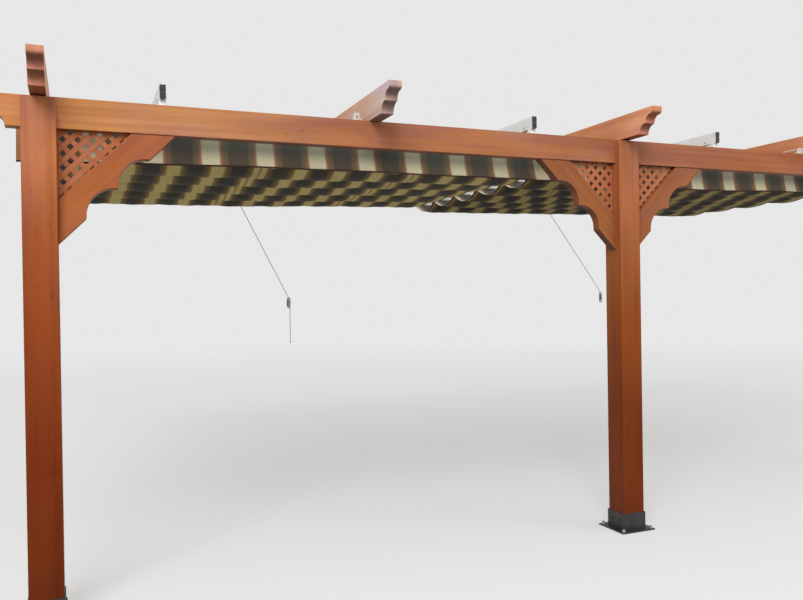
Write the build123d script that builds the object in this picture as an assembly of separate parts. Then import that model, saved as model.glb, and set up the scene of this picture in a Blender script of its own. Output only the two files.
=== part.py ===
from build123d import *
import os
from math import asin, atan2, cos, degrees, sin

# Timber pergola against a house wall: two bays, three posts, sliding striped awnings.
# Millimetres. Origin: ground under the centre of the middle post.
# X runs along the front beam, Y runs from the posts towards the house wall, Z is up.

# Layout
BAY = 3300.0
WALL_Y = 3400.0
BEAM_TOP_Z = 2408.0

# Timber sections
POST_SIDE = 150.0
POST_ARRIS = 6.0
BEAM_THICK = 70.0
BEAM_DEPTH = 145.0
RAFTER_THICK = 70.0
RAFTER_DEPTH = 145.0
LEDGER_THICK = 70.0
LEDGER_DEPTH = 145.0

# Overhangs, measured from the post centre lines
BEAM_OVERHANG = 259.0
RAFTER_OVERHANG = 329.0
LEDGER_OVERHANG = 100.0

# Scroll that ends the beam and the rafters
NOSE_RADIUS = 20.0
UPPER_COVE_RADIUS = 44.0
CUSP_FLAT = 3.0
LOWER_COVE_RADIUS = 54.0
HEEL_FLAT = 2.0

# Fork joint in the post head: its two tongues end a little below the beam's top
FORK_CLEARANCE = 0.5
FORK_BELOW_BEAM = 10.0

# Steel post shoe
SHOE_PLATE_SIDE = 240.0
SHOE_PLATE_THICK = 8.0
SHOE_CUP_HEIGHT = 100.0
SHOE_CUP_WALL = 4.0
SHOE_FIT = 1.0
SHOE_BOLT_SPACING = 200.0
SHOE_BOLT_HOLE_RADIUS = 6.5

# Wall ledger: pairs of bolts at its middle and three quarters of a bay to each side
LEDGER_BOLT_SPACING = 1200.0
LEDGER_BOLT_HOLE_RADIUS = 6.5
LEDGER_BOLT_BAY_SHARE = 0.75

# Steel hangers that carry the rafters on the ledger
HANGER_STEEL = 2.0
HANGER_REACH = 60.0
HANGER_HEIGHT = 110.0
HANGER_FLANGE = 20.0

# Knee brace
BRACE_THICK = 60.0
BRACE_WIDTH = 145.0
BRACE_LEG = 535.0
BRACE_END_RUN = 123.0
BRACE_LIP = 16.0

# Lattice in the brace corner, one flat panel: places of the slats nearest to the corner,
# first of those that run along the brace, then of those that run across it
SLAT_WIDTH = 24.0
SLAT_THICK = 8.0
SLAT_PITCH = 47.0
SLAT_PLACES = {
    "left_outer": (23.5, -10.5),
    "left_inner": (-9.0, 4.5),
    "right_inner": (22.5, -15.5),
    "right_outer": (-9.0, -10.5),
}

# Awning rails: places measured from the posts beside them
RAIL_WIDTH = 30.0
RAIL_HEIGHT = 70.0
RAIL_WALL = 2.0
RAIL_SLOT = 12.0
RAIL_LIFT = 30.0
RAIL_FRONT_Y = -30.0
RAIL_OUTER_INSET = 550.0
RAIL_LEFT_INNER_INSET = 650.0
RAIL_RIGHT_INNER_INSET = 750.0
RAIL_CAP_THICK = 4.0
RAIL_CAP_GAP = 3.0
RAIL_CAP_CORNER = 5.0

# Rail foot on the beam and plate on the ledger
FOOT_LENGTH = 60.0
FOOT_WIDTH = 44.0
FOOT_THICK = 4.0
CRADLE_LENGTH = 30.0
CRADLE_WALL = 3.0
CRADLE_GRIP = 25.0
CRADLE_FIT = 0.2
END_PLATE_WIDTH = 60.0
END_PLATE_HEIGHT = 100.0
END_PLATE_THICK = 4.0

# Awning bars
BAR_COUNT = 8
BAR_WIDTH = 24.0
BAR_HEIGHT = 28.0
BAR_CORNER = 5.0
BAR_HOLLOW_WIDTH = 15.0
BAR_HOLLOW_HEIGHT = 22.0
BAR_FIRST_Y = 240.0
BAR_LAST_Y = 3250.0
BAR_TO_RAFTER = 5.0

# Carriages between bars and rails
CARRIAGE_WIDTH = 22.0
CARRIAGE_LENGTH = 44.0
CARRIAGE_TOP_LENGTH = 28.0
CARRIAGE_NECK = 8.0
RUNNER_HEIGHT = 6.0
RUNNER_CLEARANCE = 1.0
SEAT_GAP = 0.3

# Awning cloth
AWNING_PAST_POST = 110.0
AWNING_MIDDLE_GAP = 36.0
CLOTH_THICK = 2.5
CLOTH_SAG = 90.0
VALANCE_DROP = 205.0
VALANCE_LEAN = 45.0

# Ropes that pull the awnings, and the pulleys that turn them
ROPE_DIAMETER = 6.0
ROPE_SIDES = 6
ROPE_TURN_RADIUS = 12.0
FRONT_PULLEY_Y = 25.0
ROPE_LIFT = 47.0
ROPE_TO_BASE = 5.0
PULLEY_BESIDE_RAFTER = 88.0
REAR_PULLEY_SHIFT = {"left": -57.0, "right": 0.0}
FRONT_BASE_WIDTH = 50.0
FRONT_BASE_HEIGHT = 18.0
REAR_BASE_WIDTH = 30.0
REAR_BASE_HEIGHT = 10.0
PULLEY_CHEEK = 6.0
PULLEY_SLIT = 14.0
PULLEY_RIM = 4.0
BASE_PAST_RIM = 2.0
PULLEY_CORNER = 9.0
WHEEL_SIDES = 16
CLIP_LENGTH = 24.0
CLIP_WIDTH = 16.0

# Rope ends wound on cleats at the wall: place from the middle of the bay, and height
CLEAT_FROM_BAY_MIDDLE = {"left": 382.0, "right": 710.0}
CLEAT_HEIGHT = {"left": 1416.0, "right": 1417.0}
WRAP_HEIGHT = {"left": 104.0, "right": 126.0}
WRAP_WIDTH = 40.0
WRAP_CORNER = 12.0
WRAP_EYE_WIDTH = 14.0
WRAP_EYE_INSET = 26.0
CLEAT_BASE_THICK = 5.0
CLEAT_BASE_WIDTH = 20.0
CLEAT_BASE_HEIGHT = 70.0
CLEAT_STEM_LENGTH = 23.0
CLEAT_STEM_HEIGHT = 30.0
CLEAT_FIT = 0.5
CLEAT_HORN_THICK = 8.0
CLEAT_HORN_HEIGHT = 110.0
TAIL_END_Z = 1050.0
TAIL_OFFSET_X = 12.0
KNOT_SIDE = 15.0
KNOT_HEIGHT = 18.0

# Worked-out levels
BEAM_BOTTOM_Z = BEAM_TOP_Z - BEAM_DEPTH
POST_BOTTOM_Z = SHOE_PLATE_THICK
RAFTER_TOP_Z = BEAM_TOP_Z + RAFTER_DEPTH
RAIL_BOTTOM_Z = BEAM_TOP_Z + RAIL_LIFT
BAR_TOP_Z = BEAM_TOP_Z - BAR_TO_RAFTER
BAR_BOTTOM_Z = BAR_TOP_Z - BAR_HEIGHT
CLOTH_TOP_Z = BAR_BOTTOM_Z - SEAT_GAP
ROPE_TOP_Z = BEAM_TOP_Z + ROPE_LIFT
ROPE_LOW_Z = ROPE_TOP_Z - 2 * ROPE_TURN_RADIUS

# Worked-out places
POST_HALF = POST_SIDE / 2
LEDGER_FRONT_Y = WALL_Y - LEDGER_THICK
BAR_PITCH = (BAR_LAST_Y - BAR_FIRST_Y) / (BAR_COUNT - 1)
AWNING_WIDTH = BAY + AWNING_PAST_POST - AWNING_MIDDLE_GAP / 2
AWNING_CENTRE_X = (BAY + AWNING_PAST_POST + AWNING_MIDDLE_GAP / 2) / 2
WRAP_BACK_Y = WALL_Y - CLEAT_BASE_THICK
WRAP_FRONT_Y = WRAP_BACK_Y - CLEAT_STEM_LENGTH
WRAP_MIDDLE_Y = (WRAP_BACK_Y + WRAP_FRONT_Y) / 2
REAR_PULLEY_Y = LEDGER_FRONT_Y - REAR_BASE_HEIGHT - ROPE_TO_BASE - ROPE_DIAMETER / 2 - ROPE_TURN_RADIUS

POST_PLACES = {"left": -BAY, "middle": 0.0, "right": BAY}
SIDES = {"left": -1, "right": 1}
BAY_MIDDLES = {name: side * BAY / 2 for name, side in SIDES.items()}
FRONT_PULLEY_X = {name: x - PULLEY_BESIDE_RAFTER for name, x in BAY_MIDDLES.items()}
REAR_PULLEY_X = {name: x + REAR_PULLEY_SHIFT[name] for name, x in FRONT_PULLEY_X.items()}
CLEAT_PLACES = {name: (x + CLEAT_FROM_BAY_MIDDLE[name], CLEAT_HEIGHT[name]) for name, x in BAY_MIDDLES.items()}
RAIL_PLACES = {
    "left": (-BAY + RAIL_OUTER_INSET, -RAIL_LEFT_INNER_INSET),
    "right": (RAIL_RIGHT_INNER_INSET, BAY - RAIL_OUTER_INSET),
}


def solid_box(low, high):
    """Box between two opposite corners."""
    size = [b - a for a, b in zip(low, high)]
    centre = [(a + b) / 2 for a, b in zip(low, high)]
    return Pos(*centre) * Box(*size)


def scroll_outline(length, depth):
    """Side view of a timber with a scroll at its low end: u along it, v up from its underside."""
    lower_v = HEEL_FLAT + LOWER_COVE_RADIUS
    cusp_v = lower_v + CUSP_FLAT
    nose_v = cusp_v + UPPER_COVE_RADIUS
    cusp_u = NOSE_RADIUS + UPPER_COVE_RADIUS
    heel_u = cusp_u + LOWER_COVE_RADIUS
    outline = [
        Line((0, depth), (0, nose_v + NOSE_RADIUS)),
        RadiusArc((0, nose_v + NOSE_RADIUS), (NOSE_RADIUS, nose_v), -NOSE_RADIUS),
        RadiusArc((NOSE_RADIUS, nose_v), (cusp_u, cusp_v), UPPER_COVE_RADIUS),
        Line((cusp_u, cusp_v), (cusp_u, lower_v)),
        RadiusArc((cusp_u, lower_v), (heel_u, HEEL_FLAT), LOWER_COVE_RADIUS),
        Line((heel_u, HEEL_FLAT), (heel_u, 0)),
        Line((heel_u, 0), (length, 0)),
        Line((length, 0), (length, depth)),
        Line((length, depth), (0, depth)),
    ]
    return make_face(Curve() + outline)


def make_rafter(centre_x):
    """Level rafter from the beam to the front of the ledger, scrolled at the front."""
    length = RAFTER_OVERHANG + LEDGER_FRONT_Y
    side = Plane(origin=(0, -RAFTER_OVERHANG, BEAM_TOP_Z), x_dir=(0, 1, 0), z_dir=(1, 0, 0))
    board = extrude(side * scroll_outline(length, RAFTER_DEPTH), RAFTER_THICK / 2, both=True)
    return Pos(centre_x, 0, 0) * board


def make_front_beam():
    """Continuous beam over all posts, scrolled at both ends."""
    half = BAY + BEAM_OVERHANG
    side = Plane(origin=(-half, 0, BEAM_BOTTOM_Z), x_dir=(1, 0, 0), z_dir=(0, -1, 0))
    board = extrude(side * scroll_outline(half, BEAM_DEPTH), BEAM_THICK / 2, both=True)
    return board + mirror(board, Plane.YZ)


def make_wall_ledger():
    """Plank on the house wall that the rafters butt against, drilled for its wall bolts."""
    half = BAY + LEDGER_OVERHANG
    bottom_z = RAFTER_TOP_Z - LEDGER_DEPTH
    plank = solid_box((-half, LEDGER_FRONT_Y, bottom_z), (half, WALL_Y, RAFTER_TOP_Z))
    bore = Rot(90, 0, 0) * Cylinder(LEDGER_BOLT_HOLE_RADIUS, 3 * LEDGER_THICK)
    for bay_share in (-LEDGER_BOLT_BAY_SHARE, 0, LEDGER_BOLT_BAY_SHARE):
        for side in (-1, 1):
            bolt_x = bay_share * BAY + side * LEDGER_BOLT_SPACING / 2
            plank -= Pos(bolt_x, WALL_Y, RAFTER_TOP_Z - LEDGER_DEPTH / 2) * bore
    return plank


def make_hanger(centre_x):
    """Folded steel hanger round a rafter's end: seat, two cheeks and two flanges on the ledger."""
    half = RAFTER_THICK / 2
    outer = half + HANGER_STEEL
    seat_z = BEAM_TOP_Z - HANGER_STEEL
    top_z = seat_z + HANGER_HEIGHT
    front_y = LEDGER_FRONT_Y - HANGER_REACH
    flange = outer + HANGER_FLANGE
    cradle = solid_box((-outer, front_y, seat_z), (outer, LEDGER_FRONT_Y, top_z))
    cradle -= solid_box((-half, front_y - 1, BEAM_TOP_Z), (half, LEDGER_FRONT_Y + 1, top_z + 1))
    plate = solid_box((-flange, LEDGER_FRONT_Y - HANGER_STEEL, BEAM_TOP_Z), (flange, LEDGER_FRONT_Y, top_z))
    plate -= solid_box((-half, front_y, seat_z), (half, WALL_Y, top_z + 1))
    return Pos(centre_x, 0, 0) * (cradle + plate)


def make_post(centre_x):
    """Square post with eased arrises and an open fork for the beam."""
    height = BEAM_TOP_Z - FORK_BELOW_BEAM - POST_BOTTOM_Z
    blank = Box(POST_SIDE, POST_SIDE, height)
    blank = fillet(blank.edges().filter_by(Axis.Z), POST_ARRIS)
    blank = Pos(0, 0, POST_BOTTOM_Z + height / 2) * blank
    half_slot = BEAM_THICK / 2 + FORK_CLEARANCE
    slot = solid_box((-POST_SIDE, -half_slot, BEAM_BOTTOM_Z), (POST_SIDE, half_slot, BEAM_TOP_Z + 1))
    return Pos(centre_x, 0, 0) * (blank - slot)


def make_shoe(centre_x):
    """Welded steel shoe: base plate with four holes and a square cup round the post."""
    plate_half = SHOE_PLATE_SIDE / 2
    inner_half = POST_HALF + SHOE_FIT
    outer_half = inner_half + SHOE_CUP_WALL
    rim_z = SHOE_PLATE_THICK + SHOE_CUP_HEIGHT
    plate = solid_box((-plate_half, -plate_half, 0), (plate_half, plate_half, SHOE_PLATE_THICK))
    cup = solid_box((-outer_half, -outer_half, 0), (outer_half, outer_half, rim_z))
    hollow = solid_box((-inner_half, -inner_half, SHOE_PLATE_THICK), (inner_half, inner_half, rim_z + 1))
    drill = Cylinder(SHOE_BOLT_HOLE_RADIUS, 4 * SHOE_PLATE_THICK)
    holes = GridLocations(SHOE_BOLT_SPACING, SHOE_BOLT_SPACING, 2, 2) * drill
    return Pos(centre_x, 0, 0) * (plate + cup - hollow - holes)


def corner_place(post_x, side):
    """Frame at the inner corner of post and beam: first axis away from the post, second axis down."""
    return Plane(
        origin=(post_x + side * POST_HALF, 0, BEAM_BOTTOM_Z),
        x_dir=(side, 0, 0),
        z_dir=(0, side, 0),
    )


def brace_outline():
    """Board at 45 degrees whose lower edge has two round cut-outs and a middle cusp."""
    inner_leg = BRACE_LEG - BRACE_WIDTH * 2**0.5
    arc_radius = BRACE_LEG / 2 - BRACE_END_RUN - BRACE_LIP
    corner = Vector(BRACE_LEG, 0)
    run_end = corner + Vector(-BRACE_END_RUN, BRACE_END_RUN)
    first_start = run_end + Vector(-BRACE_LIP, 0)
    first_end = first_start + Vector(-arc_radius, arc_radius)
    cusp = first_end + Vector(0, BRACE_LIP)
    second_start = cusp + Vector(-BRACE_LIP, 0)
    second_end = second_start + Vector(-arc_radius, arc_radius)
    foot_start = second_end + Vector(0, BRACE_LIP)
    outline = [
        Line((inner_leg, 0), corner),
        Line(corner, run_end),
        Line(run_end, first_start),
        RadiusArc(first_start, first_end, arc_radius),
        Line(first_end, cusp),
        Line(cusp, second_start),
        RadiusArc(second_start, second_end, arc_radius),
        Line(second_end, foot_start),
        Line(foot_start, (0, BRACE_LEG)),
        Line((0, BRACE_LEG), (0, inner_leg)),
        Line((0, inner_leg), (inner_leg, 0)),
    ]
    return make_face(Curve() + outline)


def make_brace(post_x, side):
    """Knee brace between a post and the beam."""
    return extrude(corner_place(post_x, side) * brace_outline(), BRACE_THICK / 2, both=True)


def make_lattice(name, post_x, side):
    """Flat triangle of two families of slats, fused where they cross."""
    leg = BRACE_LEG - BRACE_WIDTH * 2**0.5
    triangle = make_face(Polyline((0, 0), (leg, 0), (0, leg), close=True))
    count = int(leg / SLAT_PITCH) + 2
    slats = Sketch()
    for turn, first in zip((-45, 45), SLAT_PLACES[name]):
        for step in range(-count, count + 1):
            slat = Rectangle(4 * leg, SLAT_WIDTH)
            slats += Rot(0, 0, turn) * Pos(0, first + step * SLAT_PITCH) * slat
    panel = extrude(slats & triangle, SLAT_THICK / 2, both=True)
    return corner_place(post_x, side).location * panel


def rail_front(centre_x):
    """Frame at the front end of a rail, in the middle of its underside: X right, Y up."""
    return Plane(origin=(centre_x, RAIL_FRONT_Y, RAIL_BOTTOM_Z), x_dir=(1, 0, 0), z_dir=(0, -1, 0))


def make_rail(centre_x):
    """Double-channel rail, open slot below for the runners."""
    web_z = RAIL_HEIGHT / 2
    outer = Pos(0, web_z) * Rectangle(RAIL_WIDTH, RAIL_HEIGHT)
    cell = Rectangle(RAIL_WIDTH - 2 * RAIL_WALL, web_z - 1.5 * RAIL_WALL)
    section = outer - Pos(0, web_z / 2 + RAIL_WALL / 4) * cell - Pos(0, 1.5 * web_z - RAIL_WALL / 4) * cell
    section -= Rectangle(RAIL_SLOT, 4 * RAIL_WALL)
    length = LEDGER_FRONT_Y - END_PLATE_THICK - RAIL_FRONT_Y
    return extrude(rail_front(centre_x) * section, -length)


def make_rail_caps(centre_x):
    """Two plugs that close the front of a rail, one above the other."""
    height = (RAIL_HEIGHT - RAIL_CAP_GAP) / 2
    upper = Pos(0, RAIL_HEIGHT - height / 2) * Rectangle(RAIL_WIDTH, height)
    lower = Pos(0, height / 2) * Rectangle(RAIL_WIDTH, height)
    lower = chamfer(lower.vertices().group_by(Axis.Y)[0], RAIL_CAP_CORNER)
    return extrude(rail_front(centre_x) * (upper + lower), RAIL_CAP_THICK)


def make_rail_foot(centre_x):
    """Foot on the beam with a cradle that grips the rail's lower sides."""
    top_z = BEAM_TOP_Z + FOOT_THICK
    inner = RAIL_WIDTH / 2 + CRADLE_FIT
    outer = inner + CRADLE_WALL
    reach = CRADLE_LENGTH / 2
    grip_z = RAIL_BOTTOM_Z + CRADLE_GRIP
    foot = solid_box((-FOOT_LENGTH / 2, -FOOT_WIDTH / 2, BEAM_TOP_Z), (FOOT_LENGTH / 2, FOOT_WIDTH / 2, top_z))
    cradle = solid_box((-outer, -reach, top_z), (outer, reach, grip_z))
    cradle -= solid_box((-inner, -reach - 1, RAIL_BOTTOM_Z), (inner, reach + 1, grip_z + 1))
    return Pos(centre_x, 0, 0) * (foot + cradle)


def make_rail_end_plate(centre_x):
    """Plate between the rail's rear end and the ledger."""
    middle_z = RAIL_BOTTOM_Z + RAIL_HEIGHT / 2
    return Pos(centre_x, 0, 0) * solid_box(
        (-END_PLATE_WIDTH / 2, LEDGER_FRONT_Y - END_PLATE_THICK, middle_z - END_PLATE_HEIGHT / 2),
        (END_PLATE_WIDTH / 2, LEDGER_FRONT_Y, middle_z + END_PLATE_HEIGHT / 2),
    )


def bar_places(centre_x=0.0):
    """One place on each bar's line."""
    return [Pos(centre_x, BAR_FIRST_Y + k * BAR_PITCH, 0) for k in range(BAR_COUNT)]


def make_awning_bars(name):
    """Hollow bars across one awning, one at each crest, and the rope clip on the first."""
    blank = Pos(0, BAR_TOP_Z - BAR_HEIGHT / 2) * Rectangle(BAR_WIDTH, BAR_HEIGHT)
    blank = chamfer(blank.vertices().group_by(Axis.Y)[0], BAR_CORNER)
    section = blank - Pos(0, BAR_TOP_Z - BAR_HEIGHT / 2) * Rectangle(BAR_HOLLOW_WIDTH, BAR_HOLLOW_HEIGHT)
    bar = extrude(Plane.YZ * section, AWNING_WIDTH / 2, both=True)
    bars = [place * bar for place in bar_places(SIDES[name] * AWNING_CENTRE_X)]
    clip_low = (-CLIP_WIDTH / 2, -CLIP_LENGTH / 2, BAR_TOP_Z)
    clip_high = (CLIP_WIDTH / 2, CLIP_LENGTH / 2, ROPE_LOW_Z + ROPE_DIAMETER)
    bars[0] += Pos(FRONT_PULLEY_X[name], BAR_FIRST_Y, 0) * solid_box(clip_low, clip_high)
    return Compound(children=bars)


def make_carriages(name):
    """Hangers on the bars: a tapered foot, a neck in the rail's slot and a runner in its channel."""
    foot_z = BAR_TOP_Z + SEAT_GAP
    neck_z = RAIL_BOTTOM_Z - SEAT_GAP
    runner_z = RAIL_BOTTOM_Z + RAIL_WALL + SEAT_GAP
    runner_half = RAIL_WIDTH / 2 - RAIL_WALL - RUNNER_CLEARANCE
    half = CARRIAGE_LENGTH / 2
    top_half = CARRIAGE_TOP_LENGTH / 2
    taper = make_face(Polyline((-half, foot_z), (half, foot_z), (top_half, neck_z), (-top_half, neck_z), close=True))
    foot = extrude(Plane.YZ * taper, CARRIAGE_WIDTH / 2, both=True)
    neck = solid_box((-CARRIAGE_NECK / 2, -top_half, neck_z), (CARRIAGE_NECK / 2, top_half, runner_z))
    runner = solid_box((-runner_half, -top_half, runner_z), (runner_half, top_half, runner_z + RUNNER_HEIGHT))
    hanger = foot + neck + runner
    return Compound(children=[place * hanger for x in RAIL_PLACES[name] for place in bar_places(x)])


def thick_line(curve):
    """Edges of a sheet's side view: the curve, and the same curve one thickness lower or further."""
    return [curve, Pos(0, -CLOTH_THICK) * curve]


def make_awning_cloth(side):
    """Cloth hung in even waves from the bars."""
    start_y = BAR_FIRST_Y + CLOTH_THICK
    crests = [start_y] + [BAR_FIRST_Y + k * BAR_PITCH for k in range(1, BAR_COUNT)]
    lines = []
    for near, far in zip(crests[:-1], crests[1:]):
        trough = ((near + far) / 2, CLOTH_TOP_Z - CLOTH_SAG)
        lines += thick_line(ThreePointArc((near, CLOTH_TOP_Z), trough, (far, CLOTH_TOP_Z)))
    for y in (crests[0], crests[-1]):
        lines.append(Line((y, CLOTH_TOP_Z), (y, CLOTH_TOP_Z - CLOTH_THICK)))
    profile = make_face(Curve() + lines)
    return Pos(side * AWNING_CENTRE_X, 0, 0) * extrude(Plane.YZ * profile, AWNING_WIDTH / 2, both=True)


def make_valance(side):
    """Flap that hangs plumb from the front bar and curves forward to its hem."""
    radius = (VALANCE_DROP**2 + VALANCE_LEAN**2) / (2 * VALANCE_LEAN)
    half = CLOTH_THICK / 2
    hem_z = CLOTH_TOP_Z - VALANCE_DROP
    lines = []
    for y in (BAR_FIRST_Y - half, BAR_FIRST_Y + half):
        lines.append(RadiusArc((y, CLOTH_TOP_Z), (y - VALANCE_LEAN, hem_z), -radius))
    lines.append(Line(lines[0] @ 0, lines[1] @ 0))
    lines.append(Line(lines[0] @ 1, lines[1] @ 1))
    profile = make_face(Curve() + lines)
    return Pos(side * AWNING_CENTRE_X, 0, 0) * extrude(Plane.YZ * profile, AWNING_WIDTH / 2, both=True)


class RopeRoute:
    """Where one awning's rope runs: front clip, front wheel, rear wheel and down to its cleat."""

    def __init__(self, name):
        cleat_x, cleat_z = CLEAT_PLACES[name]
        self.wrap_top = Vector(cleat_x, WRAP_MIDDLE_Y, cleat_z + WRAP_HEIGHT[name] / 2)
        self.front_top = Vector(FRONT_PULLEY_X[name], FRONT_PULLEY_Y, ROPE_TOP_Z)
        self.rear_top = Vector(REAR_PULLEY_X[name], REAR_PULLEY_Y, ROPE_TOP_Z)
        self.along = (self.rear_top - self.front_top).normalized()
        fall = self.wrap_top - self.rear_top
        self.down = (fall - self.along * fall.dot(self.along)).normalized()
        self.rear_centre = self.rear_top + self.down * ROPE_TURN_RADIUS
        self.front_centre = self.front_top - Vector(0, 0, ROPE_TURN_RADIUS)
        reach = self.wrap_top - self.rear_centre
        lean = atan2(reach.dot(self.along), reach.dot(self.down)) - asin(ROPE_TURN_RADIUS / reach.length)
        self.rear_angle = 90 - degrees(lean)
        self.rear_exit = self.rear_centre + (self.along * cos(lean) - self.down * sin(lean)) * ROPE_TURN_RADIUS


def rope_section(start, direction, across):
    """Six-sided section of the rope, square to its run, two corners on the given axis."""
    place = Plane(origin=start, x_dir=across, z_dir=direction)
    return place * RegularPolygon(ROPE_DIAMETER / 2, ROPE_SIDES, major_radius=False)


def rope_turn(start, direction, centre, axle, angle):
    """Stretch of rope bent round a wheel."""
    return revolve(rope_section(start, direction, axle), Axis(centre, axle), angle)


def make_haul_line(name):
    """Tight rope: from the clip on the front bar round the front wheel to the rear wheel, and over it."""
    route = RopeRoute(name)
    axle = route.along.cross(Vector(0, 0, 1))
    front_low = route.front_centre - Vector(0, 0, ROPE_TURN_RADIUS)
    clip_run = (BAR_FIRST_Y - CLIP_LENGTH / 2 - FRONT_PULLEY_Y) / route.along.Y - SEAT_GAP
    top_run = (route.rear_top - route.front_top).length
    lower = extrude(rope_section(front_low, route.along, axle), clip_run)
    turn = rope_turn(front_low, route.along, route.front_centre, axle * -1, 180)
    upper = extrude(rope_section(route.front_top, route.along, axle), top_run)
    rear_axle = route.along.cross(route.down)
    rear_turn = rope_turn(route.rear_top, route.along, route.rear_centre, rear_axle, route.rear_angle)
    return [lower + turn + upper, rear_turn]


def make_pull_cord(name):
    """Rope from the rear wheel straight down to the top of its turns on the cleat."""
    route = RopeRoute(name)
    run = route.wrap_top - route.rear_exit
    section = rope_section(route.rear_exit, run, route.along.cross(route.down))
    tube = extrude(section, run.length + WRAP_WIDTH)
    return split(tube, Plane.XY.offset(route.wrap_top.Z), keep=Keep.TOP)


def make_cord_tail():
    """Rope end that hangs below the left cleat, with its knot."""
    cleat_x, cleat_z = CLEAT_PLACES["left"]
    top = Vector(cleat_x + TAIL_OFFSET_X, WRAP_MIDDLE_Y, cleat_z - WRAP_HEIGHT["left"] / 2)
    tail = extrude(rope_section(top, (0, 0, -1), (1, 0, 0)), top.Z - TAIL_END_Z)
    knot = Box(KNOT_SIDE, KNOT_SIDE, KNOT_HEIGHT, align=(Align.CENTER, Align.CENTER, Align.MAX))
    return tail + Pos(top.X, top.Y, TAIL_END_Z) * knot


def make_pulley(width, height, seat_distance):
    """Pulley round its wheel's centre on a base of this size: first axis along it, second away from it."""
    half_width = PULLEY_SLIT / 2 + PULLEY_CHEEK
    rim = ROPE_TURN_RADIUS + PULLEY_RIM
    base_top = height - seat_distance
    outline = Pos(0, (rim + base_top) / 2) * Rectangle(2 * rim, rim - base_top)
    outline = chamfer(outline.vertices().group_by(Axis.Y)[-1], PULLEY_CORNER)
    cheeks = extrude(outline, half_width, both=True) - extrude(outline, PULLEY_SLIT / 2, both=True)
    base = Pos(0, base_top - height / 2) * Box(2 * (rim + BASE_PAST_RIM), height, width)
    wheel = RegularPolygon(ROPE_TURN_RADIUS - ROPE_DIAMETER / 2 - SEAT_GAP, WHEEL_SIDES)
    return cheeks + base + extrude(wheel, PULLEY_SLIT / 2, both=True)


def make_front_pulley(name):
    """Pulley that stands on the front beam."""
    route = RopeRoute(name)
    place = Plane(origin=route.front_centre, x_dir=route.along, z_dir=route.along.cross(Vector(0, 0, 1)))
    seat_distance = route.front_centre.Z - BEAM_TOP_Z
    return place.location * make_pulley(FRONT_BASE_WIDTH, FRONT_BASE_HEIGHT, seat_distance)


def make_rear_pulley(name):
    """Pulley on the ledger, turned so that its wheel faces both runs of the rope."""
    route = RopeRoute(name)
    place = Plane(origin=route.rear_centre, x_dir=route.down, z_dir=route.along.cross(route.down))
    seat_distance = (LEDGER_FRONT_Y - route.rear_centre.Y) / route.along.Y
    body = place.location * make_pulley(REAR_BASE_WIDTH, REAR_BASE_HEIGHT, seat_distance)
    return split(body, Plane.XZ.offset(-LEDGER_FRONT_Y), keep=Keep.TOP)


def make_cleat(name):
    """Upright horn cleat: base on the wall, stem through the rope's turns, and the two horns."""
    x, z = CLEAT_PLACES[name]
    stem_half = WRAP_EYE_WIDTH / 2 - CLEAT_FIT
    front_y = WRAP_FRONT_Y - CLEAT_FIT
    horn_half = CLEAT_HORN_HEIGHT / 2
    outline = make_face(
        Polyline(
            (WALL_Y - CLEAT_BASE_THICK, CLEAT_STEM_HEIGHT / 2),
            (front_y, CLEAT_STEM_HEIGHT / 2),
            (front_y - CLEAT_HORN_THICK / 2, horn_half),
            (front_y - CLEAT_HORN_THICK, horn_half),
            (front_y - CLEAT_HORN_THICK, -horn_half),
            (front_y - CLEAT_HORN_THICK / 2, -horn_half),
            (front_y, -CLEAT_STEM_HEIGHT / 2),
            (WALL_Y - CLEAT_BASE_THICK, -CLEAT_STEM_HEIGHT / 2),
            close=True,
        )
    )
    horns = extrude(Plane.YZ * outline, stem_half, both=True)
    base = solid_box(
        (-CLEAT_BASE_WIDTH / 2, WRAP_BACK_Y, -CLEAT_BASE_HEIGHT / 2),
        (CLEAT_BASE_WIDTH / 2, WALL_Y, CLEAT_BASE_HEIGHT / 2),
    )
    return Pos(x, 0, z) * (horns + base)


def make_cord_wrap(name):
    """Outer shape of the rope's turns round the cleat's stem."""
    x, z = CLEAT_PLACES[name]
    height = WRAP_HEIGHT[name]
    outline = Rectangle(WRAP_WIDTH, height)
    outline = chamfer(outline.vertices(), WRAP_CORNER)
    outline -= Rectangle(WRAP_EYE_WIDTH, height - 2 * WRAP_EYE_INSET)
    depth = WRAP_BACK_Y - WRAP_FRONT_Y
    place = Plane(origin=(x, WRAP_BACK_Y, z), x_dir=(1, 0, 0), z_dir=(0, -1, 0))
    return extrude(place * outline, depth)


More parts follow.
